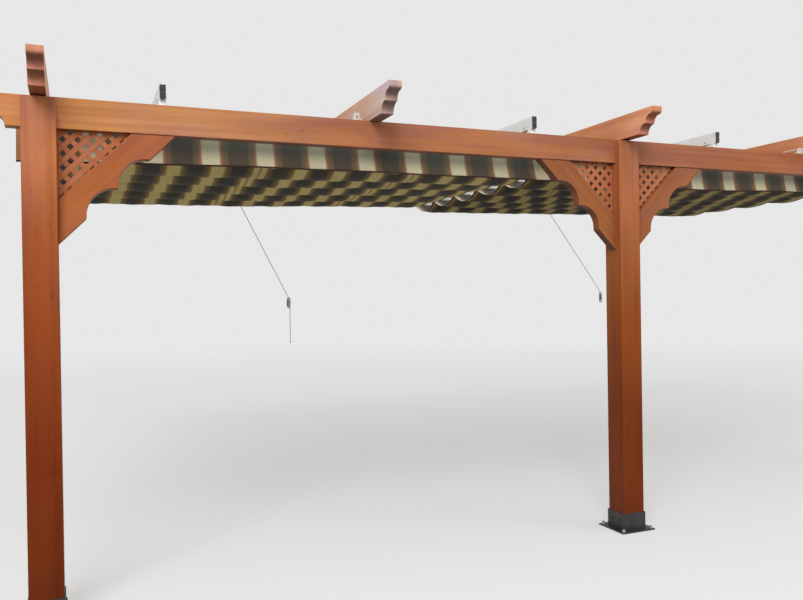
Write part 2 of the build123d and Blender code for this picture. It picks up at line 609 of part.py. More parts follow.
def build_nodes():
    """Every named piece of the pergola."""
    nodes = {}
    for name, post_x in POST_PLACES.items():
        nodes[f"shoe_{name}"] = make_shoe(post_x)
        nodes[f"post_{name}"] = make_post(post_x)
    nodes["front_beam"] = make_front_beam()
    nodes["wall_ledger"] = make_wall_ledger()
    rafter_places = [(number - 2) * BAY / 2 for number in range(5)]
    for number, rafter_x in enumerate(rafter_places, 1):
        nodes[f"rafter_{number}"] = make_rafter(rafter_x)
    nodes["rafter_hangers"] = Compound(children=[make_hanger(x) for x in rafter_places])
    corners = (("left_outer", -BAY, 1), ("left_inner", 0.0, -1), ("right_inner", 0.0, 1), ("right_outer", BAY, -1))
    for name, post_x, side in corners:
        nodes[f"brace_{name}"] = make_brace(post_x, side)
        nodes[f"lattice_{name}"] = make_lattice(name, post_x, side)
    rail_places = RAIL_PLACES["left"] + RAIL_PLACES["right"]
    for number, rail_x in enumerate(rail_places, 1):
        nodes[f"awning_rail_{number}"] = make_rail(rail_x)
    nodes["rail_caps"] = Compound(children=[cap for x in rail_places for cap in make_rail_caps(x).solids()])
    brackets = [make(x) for x in rail_places for make in (make_rail_foot, make_rail_end_plate)]
    nodes["rail_brackets"] = Compound(children=brackets)
    for name, side in SIDES.items():
        nodes[f"awning_bars_{name}"] = make_awning_bars(name)
        nodes[f"bar_carriages_{name}"] = make_carriages(name)
        nodes[f"awning_cloth_{name}"] = make_awning_cloth(side)
        nodes[f"awning_valance_{name}"] = make_valance(side)
        nodes[f"cord_wrap_{name}"] = make_cord_wrap(name)
    nodes["haul_lines"] = Compound(children=[piece for name in SIDES for piece in make_haul_line(name)])
    pulleys = [make(name) for name in SIDES for make in (make_front_pulley, make_rear_pulley)]
    nodes["cord_pulleys"] = Compound(children=pulleys)
    nodes["cord_cleats"] = Compound(children=[make_cleat(name) for name in SIDES])
    nodes["pull_cord_left"] = Compound(children=[make_pull_cord("left"), make_cord_tail()])
    nodes["pull_cord_right"] = make_pull_cord("right")
    return nodes


os.makedirs("parts", exist_ok=True)
for node_name, shape in build_nodes().items():
    export_step(shape, f"parts/{node_name}.step")
print(f"rope turns round each pulley at a radius of {ROPE_TURN_RADIUS} mm, two diameters; elsewhere it is straight")
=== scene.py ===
"""Timber pergola with wave awnings: finishes, cloth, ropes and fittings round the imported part.

Metres, in the part's own frame: X along the front beam, Y from the posts to the ledger, Z up.
"""

import logging
import math
from contextlib import contextmanager
from dataclasses import dataclass, field
from enum import Enum
from typing import Callable, Iterator, Sequence

import bpy
import numpy as np
from mathutils import Matrix, Vector


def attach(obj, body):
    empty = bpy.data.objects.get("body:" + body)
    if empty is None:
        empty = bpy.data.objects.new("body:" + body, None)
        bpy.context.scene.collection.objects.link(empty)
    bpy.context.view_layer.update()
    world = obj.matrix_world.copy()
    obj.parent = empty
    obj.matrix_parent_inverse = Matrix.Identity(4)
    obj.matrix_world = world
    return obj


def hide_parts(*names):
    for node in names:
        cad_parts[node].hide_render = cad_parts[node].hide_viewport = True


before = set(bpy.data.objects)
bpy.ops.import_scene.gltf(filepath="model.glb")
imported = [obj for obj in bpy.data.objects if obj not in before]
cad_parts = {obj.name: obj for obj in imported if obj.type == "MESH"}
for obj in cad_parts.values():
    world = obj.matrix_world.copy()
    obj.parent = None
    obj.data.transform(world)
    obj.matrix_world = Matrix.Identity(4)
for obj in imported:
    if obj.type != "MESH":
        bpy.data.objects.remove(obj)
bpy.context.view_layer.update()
LOG = logging.getLogger("pergola")

Colour = tuple[float, float, float]
Point = tuple[float, float, float]
Tones = tuple[tuple[float, Colour], ...]

# Layout of the timbers and rails
BAY = 3.3
BEAM_TOP = 2.408
BEAM_BOTTOM = 2.263
RAFTER_MIDDLE = 2.4805
LEDGER_FRONT = 3.33
RAIL_X = (-2.75, -0.65, 0.75, 2.75)
POSTS = {"left": -BAY, "middle": 0.0, "right": BAY}
CORNERS = {
    "left_outer": (-BAY, 1), "left_inner": (0.0, -1),
    "right_inner": (0.0, 1), "right_outer": (BAY, -1),
}
BOTH = (-1, 1)
DIAGONAL = math.sqrt(0.5)

# Layout of the awnings
FIRST_BAR_Y = 0.24
BAR_PITCH = 0.43
WAVES = 7
CLOTH_TOP = 2.3744
CLOTH_INNER_X = 0.018
CLOTH_OUTER_X = 3.410
FLAP_DROP = 0.204


class Grain(Enum):
    """Which way the fibres of a timber run."""

    ALONG_X = (1.0, 0.0, 0.0)
    ALONG_Y = (0.0, 1.0, 0.0)
    UPRIGHT = (0.0, 0.0, 1.0)
    RISING = (DIAGONAL, 0.0, DIAGONAL)
    FALLING = (DIAGONAL, 0.0, -DIAGONAL)


class Slot(Enum):
    """Material slots of the record."""

    PINE = "stained_pine"
    BLACK_STEEL = "black_steel"
    ZINC_STEEL = "zinc_steel"
    ALUMINIUM = "white_aluminium"
    BLACK_PLASTIC = "black_plastic"
    WHITE_PLASTIC = "white_plastic"
    ROPE = "grey_rope"
    CANVAS = "striped_canvas"


def linear(red: float, green: float, blue: float) -> Colour:
    """Colour as a shader takes it.

    Args:
        red, green, blue: screen values from 0 to 255.
    Returns:
        The same colour in linear light.
    """
    def channel(value: float) -> float:
        """One of the three values in linear light."""
        share = value / 255
        return share / 12.92 if share <= 0.04045 else ((share + 0.055) / 1.055) ** 2.4

    return channel(red), channel(green), channel(blue)


class Signal:
    """Value that a node gives out; Python operators on it add Math nodes."""

    def __init__(self, recipe: "Recipe", socket: bpy.types.NodeSocket) -> None:
        """Keeps the recipe and the socket that the value comes from."""
        self.recipe = recipe
        self.socket = socket

    def _math(self, operation: str, *values: "Signal | float") -> "Signal":
        """Adds one Math node over these values."""
        return self.recipe.node("ShaderNodeMath", {"operation": operation}, dict(enumerate(values)))["Value"]

    def __add__(self, other: "Signal | float") -> "Signal":
        """self + other."""
        return self._math("ADD", self, other)

    __radd__ = __add__

    def __mul__(self, other: "Signal | float") -> "Signal":
        """self * other."""
        return self._math("MULTIPLY", self, other)

    def __sub__(self, other: "Signal | float") -> "Signal":
        """self - other."""
        return self._math("SUBTRACT", self, other)

    def __rsub__(self, other: float) -> "Signal":
        """other - self."""
        return self._math("SUBTRACT", other, self)

    def __truediv__(self, other: "Signal | float") -> "Signal":
        """self / other."""
        return self._math("DIVIDE", self, other)

    def call(self, operation: str, *others: "Signal | float") -> "Signal":
        """Any other Math operation, such as "SINE" or "FRACT", on this value."""
        return self._math(operation, self, *others)

    def ramp(self, low: float, high: float, start: float = 0.0, end: float = 1.0) -> "Signal":
        """Smooth step from start at low to end at high; low may be the larger one."""
        inputs = {"Value": self, "From Min": low, "From Max": high, "To Min": start, "To Max": end}
        return self.recipe.node("ShaderNodeMapRange", {"interpolation_type": "SMOOTHSTEP"}, inputs)["Result"]

    def off_line(self, pitch: float) -> "Signal":
        """Distance from the nearest of the lines that lie one pitch apart, one of them at 0."""
        return ((self / pitch + 0.5).call("FLOORED_MODULO", 1.0) - 0.5).call("ABSOLUTE") * pitch


class Recipe:
    """One node tree, of a material or of the world, and the nodes that are added to it."""

    def __init__(self, name: str, owner: bpy.types.Material | bpy.types.World | None = None) -> None:
        """Starts an empty tree.

        Args:
            name: the name of the new material.
            owner: what the tree belongs to instead of a new material.
        """
        self.owner = owner or bpy.data.materials.new(name)
        self.owner.use_nodes = True
        self.tree = self.owner.node_tree
        self.tree.nodes.clear()

    def node(
        self, kind: str, settings: dict | None = None, inputs: dict | None = None
    ) -> dict[str | int, Signal]:
        """Adds a node.

        Args:
            kind: the node's type.
            settings: attributes set first; "stops" are those of a colour ramp.
            inputs: what goes into its sockets, by name or number: signals, numbers or tuples.
        Returns:
            Its outputs by name and by number.
        """
        made = self.tree.nodes.new(kind)
        for key, value in (settings or {}).items():
            if key == "stops":
                self._set_stops(made.color_ramp, value)
            else:
                setattr(made, key, value)
        for key, value in (inputs or {}).items():
            socket = made.inputs[key]
            if isinstance(value, Signal):
                self.tree.links.new(value.socket, socket)
            elif socket.type == "RGBA":
                socket.default_value = (*value[:3], 1.0)
            else:
                socket.default_value = value
        named = {out.name: Signal(self, out) for out in made.outputs if out.enabled}
        return named | {number: Signal(self, out) for number, out in enumerate(made.outputs)}

    @staticmethod
    def _set_stops(ramp: bpy.types.ColorRamp, stops: Sequence[tuple[float, Colour]]) -> None:
        """Gives a colour ramp these stops and no others.

        Args:
            ramp: the colour ramp.
            stops: places from 0 to 1 and their colours.
        """
        while len(ramp.elements) > 1:
            ramp.elements.remove(ramp.elements[-1])
        ramp.elements[0].position = stops[0][0]
        ramp.elements[0].color = (*stops[0][1], 1.0)
        for place, colour in stops[1:]:
            ramp.elements.new(place).color = (*colour, 1.0)

    def point(self) -> Signal:
        """The point on the piece, in metres."""
        return self.node("ShaderNodeTexCoord")["Object"]

    def split(self, vector: Signal) -> tuple[Signal, Signal, Signal]:
        """The x, y and z of a vector."""
        parts = self.node("ShaderNodeSeparateXYZ", inputs={0: vector})
        return parts["X"], parts["Y"], parts["Z"]

    def channels(self, colour: Signal) -> tuple[Signal, Signal]:
        """The red and the green of a colour, as two values that don't depend on each other."""
        parts = self.node("ShaderNodeSeparateColor", inputs={0: colour})
        return parts["Red"], parts["Green"]

    def flat(self) -> tuple[Signal, Signal]:
        """The piece's own flat measure: its two UV values."""
        across, down, _ = self.split(self.node("ShaderNodeTexCoord")["UV"])
        return across, down

    def vector(self, x: Signal | float, y: Signal | float, z: Signal | float) -> Signal:
        """Vector of three values."""
        return self.node("ShaderNodeCombineXYZ", inputs={0: x, 1: y, 2: z})["Vector"]

    def vector_math(self, operation: str, *vectors: Signal | Point) -> dict[str | int, Signal]:
        """Outputs of one Vector Math node over these vectors."""
        return self.node("ShaderNodeVectorMath", {"operation": operation}, dict(enumerate(vectors)))

    def noise(self, point: Signal, scale: float, detail: float = 2.0, roughness: float = 0.5) -> Signal:
        """Soft noise from about 0 to 1 with `scale` lumps to each unit of the point."""
        inputs = {"Vector": point, "Scale": scale, "Detail": detail, "Roughness": roughness}
        return self.node("ShaderNodeTexNoise", inputs=inputs)["Fac"]

    def cells(self, point: Signal, scale: float) -> dict[str | int, Signal]:
        """Outputs of a pattern of cells, `scale` of them to each unit of the point."""
        return self.node("ShaderNodeTexVoronoi", {"feature": "F1"}, {"Vector": point, "Scale": scale})

    def gradient(self, share: Signal, stops: Sequence[tuple[float, Colour]]) -> Signal:
        """Colour from a row of stops along a share from 0 to 1."""
        return self.node("ShaderNodeValToRGB", {"stops": stops}, {"Fac": share})["Color"]

    def mix(
        self, share: Signal | float, under: Signal | Colour, over: Signal | Colour, blend: str = "MIX"
    ) -> Signal:
        """Colour mix: `under` where share is 0, and `over`, blended in this way, where it is 1."""
        settings = {"data_type": "RGBA", "blend_type": blend}
        return self.node("ShaderNodeMix", settings, {0: share, 6: under, 7: over})[2]

    def darken(self, share: Signal | float, tone: Signal, by: Signal | Colour) -> Signal:
        """Tone times another colour where share is 1, and unchanged where it is 0."""
        return self.mix(share, tone, by, "MULTIPLY")

    def bump(self, height: Signal, depth: float, strength: float = 1.0) -> Signal:
        """Surface normal for a height from 0 to 1 that stands for `depth` metres."""
        inputs = {"Strength": strength, "Distance": depth, "Height": height}
        return self.node("ShaderNodeBump", inputs=inputs)["Normal"]

    def finish(self, **sockets: Signal | float | Colour) -> bpy.types.Material:
        """Adds the shader and the output.

        Args:
            sockets: the shader's sockets, with _ for a space.
        Returns:
            The material.
        """
        named = {key.replace("_", " "): value for key, value in sockets.items()}
        shader = self.node("ShaderNodeBsdfPrincipled", inputs=named)["BSDF"]
        self.node("ShaderNodeOutputMaterial", inputs={"Surface": shader})
        return self.owner


@dataclass(frozen=True)
class Lumps:
    """Noise in wood: how many lumps a metre it has along the fibres and across them."""

    along: float
    across: float
    detail: float = 2.0
    roughness: float = 0.5


@dataclass(frozen=True)
class BoardSpot:
    """Where a spot lies on a board: along its fibres, and the two ways across them."""

    run: Signal
    first: Signal
    second: Signal

    def stretched(self, along: float, across: float) -> Signal:
        """The spot as a vector in lumps along and across the fibres."""
        return self.run.recipe.vector(self.run * along, self.first * across, self.second * across)

    def noise(self, lumps: Lumps) -> Signal:
        """Noise that is drawn out along the fibres."""
        scaled = self.stretched(lumps.along, lumps.across)
        return self.run.recipe.noise(scaled, 1.0, lumps.detail, lumps.roughness)


@dataclass(frozen=True)
class PineFinish:
    """Pine under a honey-red satin stain: growth rings, streaks, soft knots, darker end grain.

    The tones are colours at places along the board, in metres on the fibres' axis; on the posts they hold
    painted shade towards the feet.
    The shift starts each board at its own place in the pattern, the heart is where the tree's middle
    lies across the fibres, and the marks are knots at known places. The colours from bright to end
    multiply the tones' colour; below is painted shade on the faces that look down.
    """

    name: str
    grain: Grain
    tones: Tones
    shift: float = 0.0
    heart: tuple[float, float] = (0.05, 0.16)
    marks: tuple[Point, ...] = ()
    mark_radius: float = 0.017
    ring_pitch: float = 0.0062
    ring_wander: float = 0.07
    ring_bulge: float = 0.010
    knots_along: float = 3.4
    knots_across: float = 12.0
    sway: Lumps = Lumps(0.9, 5.0)
    streaks: Lumps = Lumps(0.8, 30.0, 3.0, 0.6)
    fibres: Lumps = Lumps(9.0, 620.0, 2.0, 0.6)
    clouds: Lumps = Lumps(2.2, 7.0, 3.0)
    patches: Lumps = Lumps(2.6, 9.0)
    bright: Colour = (1.10, 1.08, 1.06)
    deep: Colour = (0.66, 0.54, 0.47)
    knot: Colour = (0.50, 0.36, 0.27)
    golden: Colour = (1.04, 1.01, 0.80)
    rosy: Colour = (0.97, 0.95, 1.14)
    # painted shade that multiplies the faces that look down
    below: Colour = (0.52, 0.46, 0.46)
    end: Colour = (0.82, 0.72, 0.68)
    relief_depth: float = 0.0005

    def along(self, recipe: Recipe) -> tuple[Signal, Signal, Signal]:
        """Where a spot lies in the board.

        Args:
            recipe: the material's tree.
        Returns:
            The place along the fibres and the two places across them, in metres.
        """
        x, y, z = recipe.split(recipe.point())
        if self.grain is Grain.ALONG_X:
            return x, y, z - BEAM_TOP
        if self.grain is Grain.ALONG_Y:
            return y, x, z - BEAM_TOP
        if self.grain is Grain.UPRIGHT:
            return z, x, y
        rising, falling = (x + z) * DIAGONAL, (x - z) * DIAGONAL
        return (rising, y, falling) if self.grain is Grain.RISING else (falling, y, rising)

    def knots(self, recipe: Recipe, spot: BoardSpot) -> tuple[Signal, Signal]:
        """Knots scattered through the wood.

        Args:
            recipe: the material's tree.
            spot: the place in the board.
        Returns:
            The distance from the nearest knot's middle in metres, and a soft mask of the knots.
        """
        scaled = spot.stretched(self.knots_along, self.knots_across)
        cell = recipe.cells(scaled, 1.0)
        gap = recipe.vector_math("SUBTRACT", scaled, cell["Position"])["Vector"]
        metres = (0.5 / self.knots_along, 1 / self.knots_across, 1 / self.knots_across)
        away = recipe.vector_math("LENGTH", recipe.vector_math("MULTIPLY", gap, metres)["Vector"])["Value"]
        large, shown = recipe.channels(cell["Color"])
        radius = large * 0.008 + 0.005
        return away, (away / radius).ramp(1.7, 0.5) * shown.ramp(0.66, 0.78)

    def placed_knots(self, recipe: Recipe) -> Signal | float:
        """Knots at known places.

        Args:
            recipe: the material's tree.
        Returns:
            A soft mask of them, which may pass 1 where two meet.
        """
        point = recipe.point()
        mask: Signal | float = 0.0
        for middle in self.marks:
            away = recipe.vector_math("DISTANCE", point, middle)["Value"]
            mask = away.ramp(self.mark_radius, 0.003) + mask
        return mask

    def rings(self, recipe: Recipe, spot: BoardSpot, away: Signal) -> Signal:
        """Growth rings, which wander along the board and bend round its knots.

        Args:
            recipe: the material's tree.
            spot: the place in the board.
            away: distance from the nearest knot's middle.
        Returns:
            A mask of the dark late wood.
        """
        bend = recipe.node(
            "ShaderNodeTexNoise",
            inputs={"Vector": spot.stretched(self.sway.along, self.sway.across), "Scale": 1.0, "Detail": 2.0},
        )["Color"]
        one, other = recipe.channels(bend)
        first = spot.first - self.heart[0] + (one - 0.5) * self.ring_wander
        second = spot.second - self.heart[1] + (other - 0.5) * self.ring_wander
        radius = (first * first + second * second).call("SQRT")
        phase = ((radius + away.ramp(0.035, 0.0) * self.ring_bulge) / self.ring_pitch).call("FRACT")
        return phase.ramp(0.30, 0.90) * phase.ramp(1.0, 0.92)

    def stain(self, recipe: Recipe, place: Signal, clouds: Signal) -> Signal:
        """The colour from the tones, which drifts along the board; on the posts it holds painted shade
        towards the feet.

        Args:
            recipe: the material's tree.
            place: the place along the fibres.
            clouds: noise that blurs where one tone ends.
        Returns:
            The colour.
        """
        low, high = self.tones[0][0], self.tones[-1][0]
        stops = [((there - low) / (high - low), colour) for there, colour in self.tones]
        return recipe.gradient((place - low + (clouds - 0.5) * 0.2) / (high - low), stops)

    def painted_shadow_lines(self, recipe: Recipe) -> Signal | float:
        """Mask of thin painted shadow lines; a plain board has none."""
        return 0.0

    def build(self) -> bpy.types.Material:
        """Adds the nodes of the whole finish.

        Returns:
            The material.
        """
        recipe = Recipe(self.name)
        place, first, second = self.along(recipe)
        spot = BoardSpot(place + self.shift, first, second)
        away, scattered = self.knots(recipe, spot)
        knots = (self.placed_knots(recipe) + scattered).call("MINIMUM", 1.0)
        late = self.rings(recipe, spot, away)
        streaks, fibres, clouds = (spot.noise(lumps) for lumps in (self.streaks, self.fibres, self.clouds))
        shade = late * 0.12 + streaks.ramp(0.34, 0.74) * 0.42 + (fibres - 0.5) * 0.16
        shade = (shade + clouds.ramp(0.35, 0.68) * 0.34).call("MAXIMUM", 0.0).call("MINIMUM", 1.0)
        # Tones along the board, with the posts' painted shade towards their feet
        wood = self.stain(recipe, place, clouds)
        wood = recipe.darken(1.0, wood, recipe.mix(shade, self.bright, self.deep))
        patches = spot.noise(self.patches).ramp(0.34, 0.66)
        wood = recipe.darken(1.0, wood, recipe.mix(patches, self.golden, self.rosy))
        wood = recipe.darken(knots * streaks.ramp(0.35, 0.6) * 0.45, wood, self.knot)
        # Painted shade: faces that look down are darkened
        _, _, upward = recipe.split(recipe.node("ShaderNodeNewGeometry")["Normal"])
        wood = recipe.darken(upward.ramp(-0.15, -0.95), wood, self.below)
        # Painted shadow lines, in the knot's colour, where the slats cross
        wood = recipe.darken(self.painted_shadow_lines(recipe), wood, self.knot)
        cut = recipe.node("ShaderNodeAttribute", {"attribute_name": "end_grain"})["Fac"].ramp(0.25, 1.0)
        wood = recipe.darken(cut, wood, self.end)
        relief = (1.0 - late) * 0.35 + fibres * 0.5 + (1.0 - knots) * 0.3
        return recipe.finish(
            Base_Color=wood,
            Roughness=(streaks - 0.5) * 0.18 + 0.44 + knots * 0.08 + cut * 0.2,
            Normal=recipe.bump(relief, self.relief_depth, 0.45),
            Specular_IOR_Level=0.15,
        )


@dataclass(frozen=True)
class SlatFinish(PineFinish):
    """Pine of the crossed slats: the fibres follow each slat, and a thin painted shadow line shows where two
    meet.

    The corner is where post and beam meet, and the first slats are the two families' starts from it.
    """

    corner: tuple[float, float] = (0.0, 0.0)
    side: int = 1
    first_slats: tuple[float, float] = (0.0, 0.0)
    pitch: float = 0.047
    width: float = 0.024
    edge_soft: float = 0.0001
    shadow_line_half: float = 0.0011

    def families(self, recipe: Recipe) -> tuple[Signal, Signal, Signal, Signal]:
        """Where a spot lies among the slats.

        Args:
            recipe: the material's tree.
        Returns:
            Places across the slats along the brace and across the others, then the distances from
            the middle of the nearest slat of each family.
        """
        x, _, z = recipe.split(recipe.point())
        out, down = (x - self.corner[0]) * self.side, self.corner[1] - z
        one, other = (out + down) * DIAGONAL, (down - out) * DIAGONAL
        gap, other_gap = (
            (place - first).off_line(self.pitch) for place, first in zip((one, other), self.first_slats)
        )
        return one, other, gap, other_gap

    def along(self, recipe: Recipe) -> tuple[Signal, Signal, Signal]:
        """Where a spot lies in whichever slat is on top.

        Args:
            recipe: the material's tree.
        Returns:
            The place along its fibres, with a start of its own for each slat, and the two places
            across them.
        """
        _, y, _ = recipe.split(recipe.point())
        over, under, gap, _ = self.families(recipe)
        top = gap.ramp(self.width / 2 + self.edge_soft, self.width / 2 - self.edge_soft)
        start = (over / self.pitch).call("FLOOR") * 0.37 * top
        start = start + (under / self.pitch).call("FLOOR") * 0.53 * (1 - top)
        return over + (under - over) * top + start, y, under + (over - under) * top

    def painted_shadow_lines(self, recipe: Recipe) -> Signal | float:
        """Thin shadow line along the edges of the upper slats where they cross the others.

        Args:
            recipe: the material's tree.
        Returns:
            A mask of the line.
        """
        _, _, gap, other = self.families(recipe)
        line = (gap - self.width / 2).call("ABSOLUTE").ramp(self.shadow_line_half, 0.0003)
        return line * other.ramp(self.width / 2, self.width / 2 - 0.001)


@dataclass(frozen=True)
class MetalFinish:
    """Painted, lacquered or zinc-plated metal with faint unevenness, scuffs and dust."""

    name: str
    colour: Colour
    worn: Colour
    roughness: float = 0.4
    metallic: float = 0.0
    spangle: float = 0.0
    drawn: bool = False

    def build(self) -> bpy.types.Material:
        """Adds the nodes of the whole finish.

        Returns:
            The material.
        """
        recipe = Recipe(self.name)
        point = recipe.point()
        clouds = recipe.noise(point, 14.0, 3.0, 0.6)
        specks = recipe.noise(point, 420.0, 2.0)
        shade = clouds.ramp(0.35, 0.7) * 0.6 + specks.ramp(0.62, 0.75) * 0.4
        if self.spangle:
            flake, _ = recipe.channels(recipe.cells(point, 130.0)["Color"])
            shade = shade * (1 - self.spangle) + flake * self.spangle
        if self.drawn:
            x, y, z = recipe.split(point)
            lines = recipe.noise(recipe.vector(x * 900.0, y * 3.0, z * 900.0), 1.0, 2.0)
            shade = shade * 0.6 + lines * 0.4
        return recipe.finish(
            Base_Color=recipe.mix(shade, self.colour, self.worn),
            Roughness=shade * 0.16 + self.roughness,
            Metallic=self.metallic,
            Normal=recipe.bump(specks * 0.6 + clouds * 0.4, 0.0002, 0.4),
        )


@dataclass(frozen=True)
class MouldedFinish:
    """Moulded plastic or tape with a fine grain and a little grime."""

    name: str
    colour: Colour
    grime: Colour
    roughness: float = 0.5

    def build(self) -> bpy.types.Material:
        """Adds the nodes of the whole finish.

        Returns:
            The material.
        """
        recipe = Recipe(self.name)
        point = recipe.point()
        dirt = recipe.noise(point, 36.0, 4.0, 0.65)
        return recipe.finish(
            Base_Color=recipe.mix(dirt.ramp(0.45, 0.75) * 0.5, self.colour, self.grime),
            Roughness=dirt * 0.15 + self.roughness,
            Normal=recipe.bump(recipe.noise(point, 1500.0, 1.0), 0.0001, 0.5),
        )


@dataclass(frozen=True)
class RopeFinish:
    """Braided rope: crossed strands from the curve's own lengthwise and round coordinates."""

    name: str
    length: float
    colour: Colour = linear(238, 237, 230)
    # painted shade in the grooves between strands, and the colour of the dirt
    groove_shade_and_dirt: Colour = linear(196, 194, 186)
    pick: float = 0.0075
    strands: float = 4.0

    def build(self) -> bpy.types.Material:
        """Adds the nodes of the whole finish.

        Returns:
            The material.
        """
        recipe = Recipe(self.name)
        length_share, round_share = recipe.flat()
        along = length_share * (self.length / self.pick)
        around = round_share * self.strands
        one = ((along + around) * math.tau).call("SINE")
        other = ((along - around) * math.tau).call("SINE")
        plait = one.call("MAXIMUM", other) * 0.5 + 0.5
        dirt = recipe.noise(recipe.point(), 9.0, 3.0)
        # Painted shade in the grooves between the strands
        tone = recipe.mix(plait, self.groove_shade_and_dirt, self.colour)
        # Dirt in the same colour as the painted groove shade
        return recipe.finish(
            Base_Color=recipe.mix(dirt.ramp(0.4, 0.8) * 0.35, tone, self.groove_shade_and_dirt),
            Roughness=0.85,
            Normal=recipe.bump(plait, 0.0008, 0.5),
        )


@dataclass(frozen=True)
class CanvasColours:
    """The four colours of the striped canvas on one side; the sides' sets differ by painted light and shade.
    """

    beige: Colour
    clay: Colour
    olive: Colour
    charcoal: Colour


@dataclass(frozen=True)
class CanvasFinish:
    """Woven striped canvas with soiling; its stripes follow the cloth's own flat measure in metres.

    The three halves are how far each colour reaches from a stripe's middle, as shares of the pitch,
    and the glow is painted light: an emission that stands for the light that comes through the cloth.
    """

    name: str
    colours: CanvasColours
    stripe_start: float
    pitch: float
    glow: float = 0.0
    beige_half: float = 0.156
    clay_half: float = 0.222
    olive_half: float = 0.312
    blend: float = 0.022
    yarn: float = 0.0024
    soiling: float = 0.25
    soil: Colour = (0.30, 0.26, 0.20)

    def stripes(self, recipe: Recipe, across: Signal) -> Signal:
        """Beige stripe edged with clay and olive on charcoal, once a pitch.

        Args:
            recipe: the material's tree.
            across: the flat measure across the stripes.
        Returns:
            The colour.
        """
        colours = self.colours
        bounds = (
            (self.beige_half, colours.beige, colours.clay),
            (self.clay_half, colours.clay, colours.olive),
            (self.olive_half, colours.olive, colours.charcoal),
        )
        stops = []
        for half, inner, outer in bounds:
            stops += [((half - self.blend) * 2, inner), ((half + self.blend) * 2, outer)]
        share = (across - self.stripe_start).off_line(self.pitch) / self.pitch
        return recipe.gradient(share * 2.0, stops)

    def sewn(
        self, recipe: Recipe, tone: Signal, measure: tuple[Signal, Signal], dirt: Signal
    ) -> tuple[Signal, Signal | float]:
        """What is sewn or faded on this cloth; plain canvas has nothing.

        Args:
            recipe: the material's tree.
            tone: the canvas's colour.
            measure: the flat measure across the stripes and down the cloth.
            dirt: noise of the soiling.
        Returns:
            The new colour, and a height that is added to the weave's.
        """
        return tone, 0.0

    def build(self) -> bpy.types.Material:
        """Adds the nodes of the whole finish.

        Returns:
            The material.
        """
        recipe = Recipe(self.name)
        across, down = recipe.flat()
        turns = math.tau / self.yarn
        weave = (across * turns).call("SINE") * (down * turns).call("SINE") * 0.5 + 0.5
        dirt = recipe.noise(recipe.point(), 2.6, 4.0, 0.6)
        slub = recipe.noise(recipe.vector(across * 240.0, down * 18.0, 0.0), 1.0, 2.0)
        share = (dirt.ramp(0.42, 0.78) * self.soiling + (slub - 0.5) * 0.2).call("MAXIMUM", 0.0)
        tone = recipe.darken(share, self.stripes(recipe, across), self.soil)
        tone, raised = self.sewn(recipe, tone, (across, down), dirt)
        return recipe.finish(
            Base_Color=tone,
            Roughness=0.86,
            Specular_IOR_Level=0.1,
            Sheen_Weight=0.06,
            Sheen_Roughness=0.5,
            # Painted glow: emission that stands for light through the cloth
            Emission_Color=tone,
            Emission_Strength=self.glow,
            Normal=recipe.bump(weave * 0.35 + raised, 0.0006, 0.7),
        )


@dataclass(frozen=True)
class WaveFinish(CanvasFinish):
    """Canvas of the waves: a seam at every fourth stripe, and two lines of stitches at each bar."""

    seam_every: int = 4
    seam_half: float = 0.006
    stitch_off: float = 0.014
    stitch_half: float = 0.0022
    thread: Colour = (0.10, 0.08, 0.06)

    def sewn(
        self, recipe: Recipe, tone: Signal, measure: tuple[Signal, Signal], dirt: Signal
    ) -> tuple[Signal, Signal | float]:
        """Seams and stitches.

        Args:
            recipe: the material's tree.
            tone: the canvas's colour.
            measure: the flat measure across the stripes and down the cloth.
            dirt: noise of the soiling, which they don't need.
        Returns:
            The new colour, and their height.
        """
        across, down = measure
        seam = (across - self.stripe_start).off_line(self.pitch * self.seam_every)
        seam = seam.ramp(self.seam_half + 0.002, self.seam_half)
        stitch = (down.off_line(BAR_PITCH) - self.stitch_off).call("ABSOLUTE").ramp(self.stitch_half, 0.0008)
        tone = recipe.mix(seam * 0.8, tone, self.colours.clay)
        return recipe.mix(stitch * 0.35, tone, self.thread), seam * 0.5 - stitch * 0.4


@dataclass(frozen=True)
class FlapFinish(CanvasFinish):
    """Canvas of the flap: greyer under the beam, where the beam's shadow is painted, with hemmed ends."""

    # painted shadow of the beam over the flap's upper part
    beam_shadow_grey: Colour = linear(47, 55, 54)
    beam_shadow_share: float = 0.70
    beam_shadow_fade: tuple[float, float] = (0.47, 0.92)
    hem_at: float = 3.386

    def sewn(
        self, recipe: Recipe, tone: Signal, measure: tuple[Signal, Signal], dirt: Signal
    ) -> tuple[Signal, Signal | float]:
        """Painted shadow of the beam on the upper half, and the hems at the two ends.

        Args:
            recipe: the material's tree.
            tone: the canvas's colour.
            measure: the flat measure across the stripes and down the flap.
            dirt: noise of the soiling, which makes the painted shadow's lower edge uneven.
        Returns:
            The new colour, and no height.
        """
        across, down = measure
        # Painted shadow of the beam, fading out down the flap
        level = down / FLAP_DROP + (dirt - 0.5) * 0.12
        tone = recipe.mix(level.ramp(*self.beam_shadow_fade, self.beam_shadow_share, 0.0), tone, self.beam_shadow_grey)
        hem = across.call("ABSOLUTE").ramp(self.hem_at, self.hem_at + 0.001)
        return recipe.mix(hem, tone, self.colours.clay), 0.0


def alone(piece: bpy.types.Object) -> None:
    """Deselects everything, then selects this piece and makes it the active one.

    Args:
        piece: the piece.
    """
    bpy.ops.object.select_all(action="DESELECT")
    piece.select_set(True)
    bpy.context.view_layer.objects.active = piece


